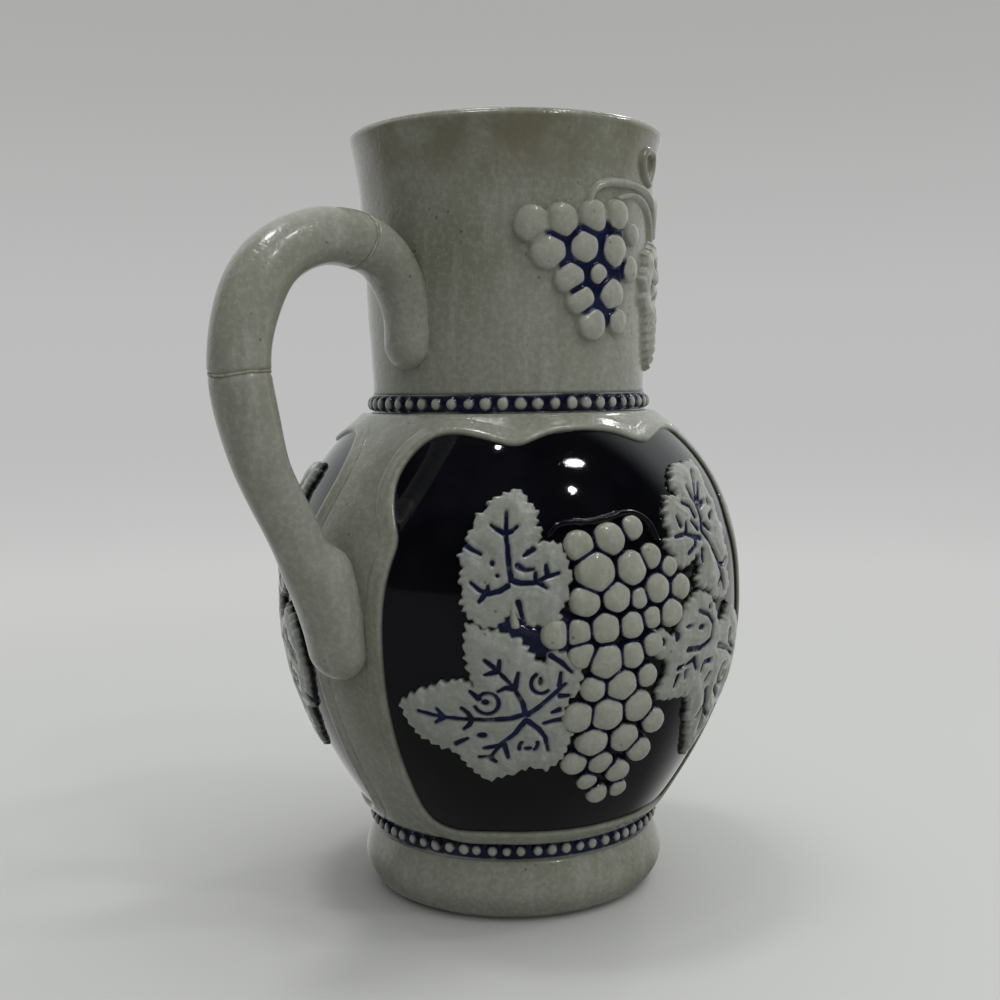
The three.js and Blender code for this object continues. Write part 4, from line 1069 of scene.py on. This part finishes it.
def make_bead_band(name, node, seat, beads, bead_radius, material):
    """A band of beads: a shallow strip with a dome for each bead, painted blue between them."""
    low, top = low_of(node)[2], high_of(node)[2]
    middle = (low + top) / 2
    columns = beads * COLUMNS_PER_BEAD
    azimuth = np.arange(columns) * 360 / columns
    rows = np.linspace(-1, 1, BAND_ROWS)[:, None]
    across = rows * (top - low) / 2
    pitch = 360 / beads
    number = np.floor(azimuth / pitch + 0.5) % beads
    nudges = np.random.default_rng(beads)
    nudge = nudges.normal(0, BEAD_STRAY, beads)[number.astype(int)]
    size = 1 + nudges.normal(0, BEAD_SIZE_STRAY, beads)[number.astype(int)]
    along = ((azimuth + pitch / 2) % pitch - pitch / 2) * math.radians(1) * (seat + BEAD_FOOT) - nudge
    share = np.hypot(along, across * 0.97) / (bead_radius * size)
    dome = BEAD_PROUD * np.sqrt(np.clip(1 - share**2, 0, None)) ** 0.9
    edge = STRIP_EDGE_PROUD * smooth(0.72, 0.95, np.abs(rows)) * np.ones(columns)
    proud = STRIP_PROUD + np.maximum(dome, edge)
    angle = np.radians(azimuth)[None, :]
    reach = seat + STRIP_DEPTH + proud
    z = middle + across + 0 * angle
    face = np.stack([reach * np.cos(angle), reach * np.sin(angle), z], -1)
    inner = np.stack([seat * np.cos(angle) + 0 * z, seat * np.sin(angle) + 0 * z, z], -1)
    points = np.concatenate([face, inner[::-1]]).reshape(-1, 3)
    painted, pooled = bead_paint(dome, azimuth, across, np.abs(rows), beads)
    bare = np.zeros_like(painted)
    masks = {"cobalt": np.concatenate([painted, bare]), "panel": np.concatenate([pooled, bare])}
    faces = grid_faces(len(rows) * 2, columns, True, True)
    piece = build_mesh(name, points, faces, masks)
    return present(piece, material, "cobalt_glaze", node)


# Handle, as in the part's source
HANDLE_REACH = 104.2
HANDLE_REACH_HEIGHT = 167
HANDLE_CREST_HEIGHT = 199.5
HANDLE_TIP_HEIGHT = NECK_BAND_TOP + 7.4
HANDLE_HEEL_HEIGHT = 76
HANDLE_WIDTH = 17.4
HANDLE_DEPTH = 16.2
HANDLE_TIP_WIDTH = 15.5
HANDLE_HEEL_WIDTH = 19.5
HANDLE_END_DEPTH = 11.5
HANDLE_END_LENGTH = 46
HANDLE_END_ROUND = 8
TIP_STANDOFF = 1
HEEL_STANDOFF = 1.5
UPPER_BREAK_SHARE = 0.225
LOWER_BREAK_SHARE = 0.543
GLUE_LINE = 0.35
HANDLE_SIDES = 56
HANDLE_RING_STEP = 1.1
# Skin of a worn break and of the glue in it, as shares of the handle's thickness there, and the glue's
# spread past the break, as a share of its line
BREAK_WORN = 0.965
GLUE_SUNK = 0.985
GLUE_SPREAD = 1.6
# Changes of its thickness along its length, as shares of the length and of the thickness: a swelling at the
# bend, a slimmer stretch down the limb, and the pad that is pressed onto the belly
BEND_PLACE = 0.43
BEND_SPREAD = 0.06
BEND_SWELL = 0.045
SLIM_FROM = (0.58, 0.7)
SLIM_TO = (0.84, 0.79)
SLIM_WIDTH = 0.06
SLIM_INNER = 0.3
PAD_FROM = (0.79, 0.85)
PAD_TO = (1.06, 0.9)
PAD_WIDTH = 0.1
PAD_INNER = 0.55
# Centreline, as shares of its reach and rise: the arch from its tip, and the limb down to its heel
ARCH_RUN = [(0, 0), (0, 0.5), (0.17, 0.9), (0.52, 1), (0.85, 0.73)]
LIMB_RUN = [(0, 0), (0.16, 0.275), (0.565, 0.55), (0.875, 0.81), (1, 1)]


def handle_curve():
    """Centreline of the handle: distance out from the axis and height of its points, and the run along it to
    each.
    """
    tip = float(neck_radius(HANDLE_TIP_HEIGHT)) + TIP_STANDOFF
    heel = float(belly_radius(np.array(HANDLE_HEEL_HEIGHT))) + HEEL_STANDOFF
    rise = HANDLE_CREST_HEIGHT - HANDLE_TIP_HEIGHT
    drop = HANDLE_REACH_HEIGHT - HANDLE_HEEL_HEIGHT
    points = [(tip + out * (HANDLE_REACH - tip), HANDLE_TIP_HEIGHT + up * rise) for out, up in ARCH_RUN]
    points += [
        (HANDLE_REACH + back * (heel - HANDLE_REACH), HANDLE_REACH_HEIGHT - down * drop)
        for back, down in LIMB_RUN
    ]
    curve = catmull_rom(points, 40)
    run = np.concatenate([[0], np.cumsum(np.hypot(*np.diff(curve, axis=0).T))])
    return curve, run


CENTRELINE, CENTRELINE_RUN = handle_curve()
HANDLE_LENGTH = CENTRELINE_RUN[-1]
CENTRELINE_STEP = 0.5


def crack_offset(angle, seed):
    """How far a jagged break strays along the handle at an angle round it."""
    x, y = np.cos(angle), np.sin(angle)
    return 0.8 * ripple(2.2 * x, 2.2 * y, seed) + 0.3 * ripple(9 * x, 9 * y, seed + 1)


def on_centreline(along):
    """Distance out from the axis and height of the handle's centreline, at distances along it."""
    held = np.clip(along, 0, HANDLE_LENGTH)
    return (np.interp(held, CENTRELINE_RUN, CENTRELINE[:, column]) for column in (0, 1))


def handle_section(along, angle):
    """How far the handle's skin lies off its centreline, outwards and sideways."""
    from_heel = HANDLE_LENGTH - along
    from_end = np.minimum(along, from_heel)
    end_width = np.where(along < from_heel, HANDLE_TIP_WIDTH, HANDLE_HEEL_WIDTH)
    full = np.clip(from_end / HANDLE_END_LENGTH, 0, 1)
    short = 1 - np.clip((from_end + 0.1) / HANDLE_END_ROUND, 0, 1)
    rounded = np.sqrt(1 - short**2) / 2
    width = (end_width + (HANDLE_WIDTH - end_width) * full) * rounded
    depth = (HANDLE_END_DEPTH + (HANDLE_DEPTH - HANDLE_END_DEPTH) * full) * rounded
    share = along / HANDLE_LENGTH
    bend = BEND_SWELL * np.exp(-(((share - BEND_PLACE) / BEND_SPREAD) ** 2))
    slim = smooth(*SLIM_FROM, share) * smooth(*SLIM_TO, share)
    pad = smooth(*PAD_FROM, share) * smooth(*PAD_TO, share)
    width = width * (1 - SLIM_WIDTH * slim + PAD_WIDTH * pad)
    inner = 1 + smooth(0.2, -0.6, np.cos(angle)) * (PAD_INNER * pad - SLIM_INNER * slim)
    swell = 1 + bend + 0.012 * ripple(along * 0.09, angle * 0, 5)
    swell = swell + 0.006 * ripple(along * 0.3, np.sin(angle) * 3, 6)
    return depth * np.cos(angle) * swell * inner, width * np.sin(angle) * swell


def handle_rings(along, angle):
    """Points of the handle's skin at distances along its centreline and angles round it."""
    along = np.clip(along, 0, HANDLE_LENGTH)
    x, z = on_centreline(along)
    x_ahead, z_ahead = on_centreline(along + CENTRELINE_STEP)
    x_behind, z_behind = on_centreline(along - CENTRELINE_STEP)
    dx, dz = x_ahead - x_behind, z_ahead - z_behind
    length = np.hypot(dx, dz)
    off, side = handle_section(along, angle)
    return np.stack([-(x - dz / length * off), side, z + dx / length * off], -1)


def make_handle_piece(name, node, start, stop, breaks, material):
    """One fragment of the handle. A broken end, given by its seed, is jagged and a little worn."""
    steps = max(24, int((stop - start) / HANDLE_RING_STEP))
    angle = np.linspace(0, 2 * math.pi, HANDLE_SIDES, endpoint=False)[None, :]
    share = np.linspace(0, 1, steps)[:, None]
    if not breaks[0]:
        share = share**1.6
    if not breaks[1]:
        share = 1 - (1 - share) ** 1.6
    begin = start + (crack_offset(angle, breaks[0]) if breaks[0] else 0)
    finish = stop + (crack_offset(angle, breaks[1]) if breaks[1] else 0)
    along = begin + share * (finish - begin) + 0 * angle
    points = handle_rings(along, angle + 0 * share)
    centre = points.mean(axis=1, keepdims=True)
    for row, worn in ((0, breaks[0]), (-1, breaks[1])):
        if worn:
            points[row] = centre[row] + (points[row] - centre[row]) * BREAK_WORN
    faces = grid_faces(steps, HANDLE_SIDES, False, True) + end_fans(steps, HANDLE_SIDES)
    flat = np.vstack([points.reshape(-1, 3), points[0].mean(axis=0)[None], points[-1].mean(axis=0)[None]])
    return present(build_mesh(name, flat, faces), material, "salt_glaze", node)


def make_glue_line(name, at, seed, material):
    """The line of old glue in a break of the handle, a little inside its skin."""
    angle = np.linspace(0, 2 * math.pi, HANDLE_SIDES, endpoint=False)[None, :]
    across = np.array([[-0.5], [0.5]]) * GLUE_LINE * GLUE_SPREAD
    along = at + across + crack_offset(angle, seed)
    points = handle_rings(along, angle + 0 * across)
    centre = points.mean(axis=1, keepdims=True)
    points = centre + (points - centre) * GLUE_SUNK
    faces = grid_faces(2, HANDLE_SIDES, False, True) + end_fans(2, HANDLE_SIDES)
    flat = np.vstack([points.reshape(-1, 3), centre.reshape(-1, 3)])
    return present(build_mesh(name, flat, faces), material, "salt_glaze")


def make_handle(ware, glue):
    """The loop handle: three fragments, and the glue in the two breaks between them."""
    upper = UPPER_BREAK_SHARE * HANDLE_LENGTH
    lower = LOWER_BREAK_SHARE * HANDLE_LENGTH
    upper_seed, lower_seed = 41, 51
    half = GLUE_LINE / 2
    fragments = {
        "handle_neck_end": (0, upper - half, (0, upper_seed)),
        "handle_bow": (upper + half, lower - half, (upper_seed, lower_seed)),
        "handle_lower_limb": (lower + half, HANDLE_LENGTH, (lower_seed, 0)),
    }
    for node, (start, stop, breaks) in fragments.items():
        make_handle_piece(f"{node}_ware", node, start, stop, breaks, ware)
    make_glue_line("glue_line_upper", upper, upper_seed, glue)
    make_glue_line("glue_line_lower", lower, lower_seed, glue)


class Nodes:
    """Short words for building a node tree. A value is a number, a colour or another node's output."""

    def __init__(self, tree):
        self.tree = tree

    def add(self, kind, settings=None, **inputs):
        """A new node with its settings and inputs. An underscore is a space in an input's name."""
        node = self.tree.nodes.new(kind)
        for name, value in (settings or {}).items():
            setattr(node, name, value)
        for name, value in inputs.items():
            self.set(node, name.replace("_", " "), value)
        return node

    def set(self, node, name, value):
        """Gives an input a value or links it to one. A name in digits is the input's place."""
        socket = node.inputs[int(name)] if name.isdigit() else node.inputs[name]
        if isinstance(value, bpy.types.NodeSocket):
            self.tree.links.new(value, socket)
        else:
            socket.default_value = value

    def noise(self, place, scale, detail=3, roughness=0.5):
        """Clouds between 0 and 1, finer for a larger scale."""
        node = self.add("ShaderNodeTexNoise", Vector=place, Scale=scale, Detail=detail, Roughness=roughness)
        return node.outputs["Fac"]

    def ramp(self, value, low, high, start=0.0, end=1.0):
        """Runs smoothly from start to end while a value goes from low to high."""
        node = self.add("ShaderNodeMapRange", {"interpolation_type": "SMOOTHSTEP"})
        for name, number in (("Value", value), ("From Min", low), ("From Max", high)):
            self.set(node, name, number)
        self.set(node, "To Min", start)
        self.set(node, "To Max", end)
        return node.outputs["Result"]

    def toward(self, way, direction):
        """How far a vector points along a fixed direction."""
        node = self.add("ShaderNodeVectorMath", {"operation": "DOT_PRODUCT"}, Vector=way)
        node.inputs[1].default_value = direction
        return node.outputs["Value"]

    def math(self, operation, a, b=0.0, clamp=False):
        """One step of arithmetic."""
        node = self.add("ShaderNodeMath", {"operation": operation, "use_clamp": clamp})
        self.set(node, "0", a)
        self.set(node, "1", b)
        return node.outputs[0]

    def mix(self, share, a, b):
        """A share of the way from one colour to another."""
        node = self.add("ShaderNodeMix", {"data_type": "RGBA"})
        self.set(node, "0", share)
        self.set(node, "6", a)
        self.set(node, "7", b)
        return node.outputs[2]

    def blend(self, share, a, b):
        """A share of the way from one number to another."""
        node = self.add("ShaderNodeMix", {"data_type": "FLOAT"})
        self.set(node, "0", share)
        self.set(node, "2", a)
        self.set(node, "3", b)
        return node.outputs[0]


def new_group(name, inputs, outputs):
    """A shader node group with named sockets, its inputs and its output node."""
    tree = bpy.data.node_groups.new(name, "ShaderNodeTree")
    for title, kind, value in inputs:
        socket = tree.interface.new_socket(title, in_out="INPUT", socket_type=kind)
        if value is not None:
            socket.default_value = value
    for title, kind in outputs:
        tree.interface.new_socket(title, in_out="OUTPUT", socket_type=kind)
    nodes = Nodes(tree)
    return tree, nodes, nodes.add("NodeGroupInput").outputs, nodes.add("NodeGroupOutput")


# Kinds of socket
COLOUR = "NodeSocketColor"
NUMBER = "NodeSocketFloat"
VECTOR = "NodeSocketVector"

# Colours of the fired glazes
PLAIN_CLAY = (0.2, 0.2, 0.17, 1)
PLAIN_OLIVE = (0.13, 0.13, 0.08, 1)
PLAIN_PALE = (0.3, 0.31, 0.28, 1)
RIM_BROWN = (0.105, 0.098, 0.06, 1)
IRON_SPECK = (0.045, 0.038, 0.026, 1)
COBALT_DARK = (0.0042, 0.0055, 0.024, 1)
COBALT_LIGHT = (0.009, 0.012, 0.047, 1)
POOL_DARK = (0.0016, 0.0017, 0.0026, 1)
POOL_STREAK = (0.0042, 0.0042, 0.0068, 1)
GLUE_PALE = (0.3, 0.285, 0.23, 1)
GLUE_BROWN = (0.16, 0.14, 0.1, 1)

# Scales of the noises, in features per metre
CLOUDS = 16
RUNS = (190, 190, 26)
GRAIN = 620
SPECKS = 240
SPECKLED_PATCHES = 55
RIM_PATCHES = 42
SKIN = 900
PITS = 480
WETNESS = 60
BRUSH_BREAKS = 300
BRUSH_TONE = 120
POOL_STREAKS = 30

# The browner ring below the rim, in millimetres down from the rim: where it starts and is full, seen
# from below, and where it is bare again and full, seen from the rim
BROWN_FROM_BELOW = (27.1, 6.1)
BROWN_FROM_RIM = (0.9, 2.6)


def salt_glaze_group():
    """Grey salt glaze: cloudy grey and olive streaks, a browner rim, fine specks and pitted skin."""
    tree, n, given, out = new_group(
        "salt_glaze",
        [
            ("Place", VECTOR, None),
            ("Clay", COLOUR, PLAIN_CLAY),
            ("Olive", COLOUR, PLAIN_OLIVE),
            ("Pale", COLOUR, PLAIN_PALE),
        ],
        [("Color", COLOUR), ("Roughness", NUMBER), ("Height", NUMBER)],
    )
    place = given["Place"]
    clouds = n.noise(place, CLOUDS, 5, 0.6)
    colour = n.mix(n.ramp(clouds, 0.4, 0.68, 0, 0.85), given["Clay"], given["Olive"])
    run_down = n.add("ShaderNodeMapping", Vector=place, Scale=RUNS).outputs[0]
    streaks = n.noise(run_down, 1, 4, 0.65)
    colour = n.mix(n.ramp(streaks, 0.48, 0.74, 0, 0.5), colour, given["Pale"])
    colour = n.mix(n.ramp(streaks, 0.46, 0.3, 0, 0.3), colour, given["Olive"])
    grain = n.noise(place, GRAIN, 3, 0.65)
    colour = n.mix(n.ramp(grain, 0.4, 0.62, 0, 0.3), colour, given["Olive"])
    colour = n.mix(n.ramp(grain, 0.5, 0.36, 0, 0.22), colour, given["Pale"])
    height_up = n.add("ShaderNodeSeparateXYZ", Vector=place).outputs["Z"]
    below = n.ramp(height_up, *((RIM - down) * MM for down in BROWN_FROM_BELOW))
    above = n.ramp(height_up, *((RIM - down) * MM for down in BROWN_FROM_RIM))
    near_rim = n.math("MULTIPLY", below, above)
    patches = n.ramp(n.noise(place, RIM_PATCHES, 3, 0.6), 0.38, 0.66, 0.15, 0.8)
    colour = n.mix(n.math("MULTIPLY", near_rim, patches), colour, RIM_BROWN)
    speck_place = n.add("ShaderNodeTexVoronoi", Vector=place, Scale=SPECKS)
    speck = n.ramp(speck_place.outputs["Distance"], 0.06, 0.15, 1, 0)
    rare = n.ramp(n.noise(place, SPECKLED_PATCHES, 1), 0.54, 0.62)
    specks = n.math("MULTIPLY", speck, rare)
    colour = n.mix(n.math("MULTIPLY", specks, 0.6), colour, IRON_SPECK)
    skin = n.noise(place, SKIN, 3, 0.6)
    pits = n.ramp(n.noise(place, PITS, 1), 0.32, 0.44)
    height = n.math("ADD", n.math("MULTIPLY", skin, 0.55), n.math("MULTIPLY", pits, 0.45))
    wet = n.noise(place, WETNESS, 3)
    n.set(out, "Color", colour)
    n.set(out, "Roughness", n.ramp(wet, 0.35, 0.7, 0.13, 0.3))
    n.set(out, "Height", height)
    return tree


def cobalt_group():
    """Cobalt painted under the glaze: a colour over which it darkens where it pools."""
    tree, n, given, out = new_group(
        "cobalt_wash",
        [
            ("Place", VECTOR, None),
            ("Under", COLOUR, PLAIN_CLAY),
            ("Painted", NUMBER, 0.0),
            ("Pooled", NUMBER, 0.0),
        ],
        [("Color", COLOUR), ("Gloss", NUMBER)],
    )
    place = given["Place"]
    broken = n.ramp(n.noise(place, BRUSH_BREAKS, 3), 0.25, 0.5, 0.6, 1)
    painted = n.math("MULTIPLY", given["Painted"], broken, clamp=True)
    tone = n.ramp(n.noise(place, BRUSH_TONE, 2), 0.35, 0.65)
    blue = n.mix(tone, COBALT_DARK, COBALT_LIGHT)
    thin = n.mix(n.ramp(painted, 0.02, 0.85), given["Under"], blue)
    streak = n.ramp(n.noise(place, POOL_STREAKS, 5, 0.65), 0.42, 0.75)
    deep = n.mix(streak, POOL_DARK, POOL_STREAK)
    colour = n.mix(given["Pooled"], thin, deep)
    gloss = n.math("MAXIMUM", n.math("MULTIPLY", painted, 0.7), given["Pooled"])
    n.set(out, "Color", colour)
    n.set(out, "Gloss", gloss)
    return tree


SALT_GLAZE = salt_glaze_group()
COBALT_WASH = cobalt_group()


def use_group(nodes, tree, **inputs):
    """Places a node group in a material, with its own values, and gives its outputs."""
    node = nodes.add("ShaderNodeGroup", {"node_tree": tree})
    for name, value in inputs.items():
        nodes.set(node, name, value)
    return node.outputs


def new_material(name):
    """A material with only a shader and its output: the material, the words for its nodes, and the shader."""
    material = bpy.data.materials.new(name)
    material.use_nodes = True
    tree = material.node_tree
    tree.nodes.clear()
    nodes = Nodes(tree)
    shader = nodes.add("ShaderNodeBsdfPrincipled")
    output = nodes.add("ShaderNodeOutputMaterial")
    tree.links.new(shader.outputs[0], output.inputs["Surface"])
    return material, nodes, shader


GLOSSY_ROUGHNESS = 0.045
BUMP_METRES = 0.00024
POOL_SMOOTHS = 0.86


def glazed_material(name, clay, olive, pale, bump):
    """Salt-glazed ware that reads the cobalt and panel masks of its piece."""
    material, n, shader = new_material(name)
    place = n.add("ShaderNodeTexCoord").outputs["Object"]
    skin = use_group(n, SALT_GLAZE, Place=place, Clay=clay, Olive=olive, Pale=pale)
    painted = n.add("ShaderNodeAttribute", {"attribute_name": "cobalt"}).outputs["Fac"]
    pooled = n.add("ShaderNodeAttribute", {"attribute_name": "panel"}).outputs["Fac"]
    wash = use_group(n, COBALT_WASH, Place=place, Under=skin["Color"], Painted=painted, Pooled=pooled)
    n.set(shader, "Base Color", wash["Color"])
    n.set(shader, "Roughness", n.blend(wash["Gloss"], skin["Roughness"], GLOSSY_ROUGHNESS))
    fade = n.math("SUBTRACT", 1.0, n.math("MULTIPLY", pooled, POOL_SMOOTHS))
    height = n.math("MULTIPLY", skin["Height"], fade)
    relief = n.add("ShaderNodeBump", Strength=bump, Distance=BUMP_METRES, Height=height)
    n.set(shader, "Normal", relief.outputs[0])
    shader.inputs["IOR"].default_value = 1.46
    shader.inputs["Coat Weight"].default_value = 0.3
    shader.inputs["Coat Roughness"].default_value = 0.05
    return material


def glue_material():
    """Old glue, yellowed unevenly."""
    material, n, shader = new_material("old_glue")
    place = n.add("ShaderNodeTexCoord").outputs["Object"]
    tone = n.ramp(n.noise(place, BRUSH_BREAKS, 3), 0.35, 0.65)
    n.set(shader, "Base Color", n.mix(tone, GLUE_PALE, GLUE_BROWN))
    shader.inputs["Roughness"].default_value = 0.5
    return material


# Finishes of the glazed pieces: the clay's grey, its olive clouds and its pale streaks, and the skin's bump
GLAZES = {
    "salt_glazed_ware": ((0.205, 0.21, 0.178, 1), (0.135, 0.135, 0.098, 1), (0.275, 0.285, 0.25, 1), 0.4),
    "paler_ware": ((0.222, 0.229, 0.197, 1), (0.158, 0.16, 0.124, 1), (0.297, 0.306, 0.274, 1), 0.45),
    "painted_relief": ((0.25, 0.255, 0.218, 1), (0.2, 0.2, 0.16, 1), (0.32, 0.33, 0.295, 1), 0.45),
    "blue_grey_leaf": ((0.222, 0.23, 0.208, 1), (0.172, 0.177, 0.155, 1), (0.305, 0.32, 0.31, 1), 0.4),
}
WARE, PALE_WARE, RELIEF, LEAF = (glazed_material(name, *glaze) for name, glaze in GLAZES.items())
GLUE = glue_material()

make_foot(WARE)
make_belly(WARE)
make_neck(WARE)
make_handle(PALE_WARE, GLUE)
for panel_name, panel_middle in PANELS.items():
    make_panel_edge(panel_name, panel_middle, WARE)
make_leaves(LEAF)
make_panel_bunches(RELIEF)
make_panel_stalks(WARE)
make_twigs(RELIEF)
make_neck_bunches(RELIEF)
make_garland(RELIEF)
make_bead_band("foot_beads", "foot_bead_band", FOOT_SEAT, FOOT_BEADS, FOOT_BEAD_RADIUS, RELIEF)
make_bead_band("neck_beads", "neck_bead_band", NECK_SEAT, NECK_BEADS, NECK_BEAD_RADIUS, RELIEF)


# Stage: pale floor that sweeps up into the backdrop, soft lamps and the camera, in metres and degrees
FLOOR_RADIUS = 6
SWEEP_NEAR = (0.6, 0.605, 0.595, 1)
SWEEP_FAR = (0.505, 0.51, 0.505, 1)
BACKDROP_TOP = (0.405, 0.41, 0.4, 1)
FLOOR_COLOUR = (0.435, 0.439, 0.428, 1)
FILL_COLOUR = (0.99, 1, 0.985, 1)
ROOM_COLOUR = (0.98, 1, 1, 1)
# Strengths of the fill from the left and from the right, of the fill overhead, and of the room that gloss
# mirrors: how much of its patches shows in front, and its plain level at the back
FILL_LEFT = 0.29
FILL_RIGHT = 1.25
FILL_OVERHEAD = 0.6
ROOM_PATCHES = 0.01
ROOM_BACK = 0.68
# Strengths at which gloss mirrors the floor's glow, in front and at the back
GLOW_FRONT = 0.17
GLOW_BACK = 0.95
# Directions as seen in the photo
TO_THE_RIGHT = (0.669, -0.743, 0)
TO_THE_BACK = (0.743, 0.669, 0)
# Lamps in the ceiling: azimuth and rise from the pot, size, watts, turn in the lamp's own plane, and shape
LAMPS = {
    "long_ceiling_lamp": (-74.5, 60.8, (0.24, 0.12), 2, -32, "ELLIPSE"),
    "round_ceiling_lamp": (-93.8, 49.5, (0.09, 0.09), 1.5, 0, "ELLIPSE"),
    "camera_side_lamp": (-158.6, 78, (0.05, 0.05), 0.6, 0, "ELLIPSE"),
    "overhead_lamp": (131, 80, (0.26, 0.26), 5, 0, "ELLIPSE"),
    "back_lamp": (6, 45, (0.16, 0.1), 1.8, 0, "RECTANGLE"),
}
LAMP_AIM = Vector((0, 0, 0.12))
LAMP_DISTANCE = 1.6
# Camera, where the photo was taken from: its place, how it is turned, and its lens in millimetres
CAMERA_DISTANCE = 0.41956
CAMERA_HEIGHT = 0.15877
CAMERA_AZIMUTH = -138
CAMERA_PITCH = -5.088
CAMERA_YAW = -0.42
CAMERA_ROLL = -0.719
CAMERA_LENS = 47.28
CAMERA_SENSOR = 36


def direction(azimuth, rise):
    """Unit vector at an azimuth and a rise."""
    turn, up = math.radians(azimuth), math.radians(rise)
    return Vector((math.cos(up) * math.cos(turn), math.cos(up) * math.sin(turn), math.sin(up)))


def make_floor():
    """The pale floor. It takes the shadow near the pot and glows further out, and gloss mirrors its glow."""
    bpy.ops.mesh.primitive_circle_add(vertices=96, radius=FLOOR_RADIUS, fill_type="NGON", location=(0, 0, 0))
    floor = bpy.context.object
    floor.name = "floor"
    material, n, shader = new_material("pale_floor")
    place = n.add("ShaderNodeTexCoord").outputs["Object"]
    away = n.add("ShaderNodeVectorMath", {"operation": "LENGTH"}, Vector=place).outputs["Value"]
    n.set(shader, "Base Color", FLOOR_COLOUR)
    shader.inputs["Roughness"].default_value = 0.7
    sweep = n.mix(n.ramp(n.math("DIVIDE", 1.0, away), 0.1, 1.7), SWEEP_FAR, SWEEP_NEAR)
    mirrored = n.add("ShaderNodeLightPath").outputs["Is Glossy Ray"]
    behind = n.math("DIVIDE", n.toward(place, TO_THE_BACK), away)
    glow = n.add("ShaderNodeEmission", Color=sweep)
    n.set(glow, "Strength", n.blend(mirrored, 1.0, n.ramp(behind, -0.3, 0.6, GLOW_FRONT, GLOW_BACK)))
    blend = n.add("ShaderNodeMixShader")
    n.set(blend, "0", n.math("MAXIMUM", mirrored, n.ramp(away, 0.28, 0.75)))
    n.set(blend, "1", shader.outputs[0])
    n.set(blend, "2", glow.outputs[0])
    output = next(node for node in n.tree.nodes if node.type == "OUTPUT_MATERIAL")
    n.set(output, "Surface", blend.outputs[0])
    floor.data.materials.append(material)


def make_world():
    """The backdrop that the camera sees, a soft fill for the ware, and the dim room that gloss mirrors."""
    world = bpy.data.worlds.new("studio")
    bpy.context.scene.world = world
    world.use_nodes = True
    tree = world.node_tree
    tree.nodes.clear()
    n = Nodes(tree)
    way = n.add("ShaderNodeTexCoord").outputs["Generated"]
    rise = n.add("ShaderNodeSeparateXYZ", Vector=way).outputs["Z"]
    rightward = n.ramp(n.toward(way, TO_THE_RIGHT), -0.7, 1)
    rays = n.add("ShaderNodeLightPath").outputs
    seen = n.math("MAXIMUM", rays["Is Camera Ray"], rays["Is Transmission Ray"])
    backdrop = n.add("ShaderNodeBackground", Color=n.mix(n.ramp(rise, 0, 0.3), SWEEP_FAR, BACKDROP_TOP))
    overhead = n.ramp(rise, 0.3, 0.95, 0, FILL_OVERHEAD)
    soft = n.math("ADD", n.blend(rightward, FILL_LEFT, FILL_RIGHT), overhead)
    fill = n.add("ShaderNodeBackground", Color=FILL_COLOUR, Strength=soft)
    behind = n.ramp(n.toward(way, TO_THE_BACK), 0.08, 0.45)
    patchy = n.ramp(n.noise(way, 2.4, 3), 0.38, 0.66, 0.4, 2)
    room = n.add("ShaderNodeBackground", Color=ROOM_COLOUR)
    n.set(room, "Strength", n.blend(behind, n.math("MULTIPLY", patchy, ROOM_PATCHES), ROOM_BACK))
    lit = n.add("ShaderNodeMixShader")
    n.set(lit, "0", rays["Is Glossy Ray"])
    n.set(lit, "1", fill.outputs[0])
    n.set(lit, "2", room.outputs[0])
    blend = n.add("ShaderNodeMixShader")
    n.set(blend, "0", seen)
    n.set(blend, "1", lit.outputs[0])
    n.set(blend, "2", backdrop.outputs[0])
    output = n.add("ShaderNodeOutputWorld")
    n.set(output, "Surface", blend.outputs[0])


def make_lamp(name, azimuth, rise, size, watts, turned, shape):
    """A lamp that faces the pot."""
    lamp = bpy.data.lights.new(name, "AREA")
    lamp.shape = shape
    lamp.size, lamp.size_y = size
    lamp.energy = watts
    place = LAMP_AIM + LAMP_DISTANCE * direction(azimuth, rise)
    facing = (LAMP_AIM - place).to_track_quat("-Z", "Y") @ Quaternion((0, 0, 1), math.radians(turned))
    holder = bpy.data.objects.new(name, lamp)
    holder.location = place
    holder.rotation_euler = facing.to_euler()
    bpy.context.scene.collection.objects.link(holder)


def make_camera():
    """The camera stands where the photo was taken from."""
    camera = bpy.data.cameras.new("photo_camera")
    camera.sensor_width = CAMERA_SENSOR
    camera.lens = CAMERA_LENS
    holder = bpy.data.objects.new("photo_camera", camera)
    forward = direction(CAMERA_AZIMUTH + 180 - CAMERA_YAW, CAMERA_PITCH)
    right = forward.cross(Vector((0, 0, 1))).normalized()
    up = right.cross(forward)
    roll = math.radians(CAMERA_ROLL)
    tilted_right = right * math.cos(roll) + up * math.sin(roll)
    tilted_up = up * math.cos(roll) - right * math.sin(roll)
    turn = Matrix((tilted_right, tilted_up, -forward)).transposed().to_4x4()
    place = CAMERA_DISTANCE * direction(CAMERA_AZIMUTH, 0) + Vector((0, 0, CAMERA_HEIGHT))
    holder.matrix_world = Matrix.Translation(place) @ turn
    bpy.context.scene.collection.objects.link(holder)
    bpy.context.scene.camera = holder


make_floor()
make_world()
for lamp_name, lamp_values in LAMPS.items():
    make_lamp(lamp_name, *lamp_values)
make_camera()
bpy.context.scene.view_settings.view_transform = "Standard"
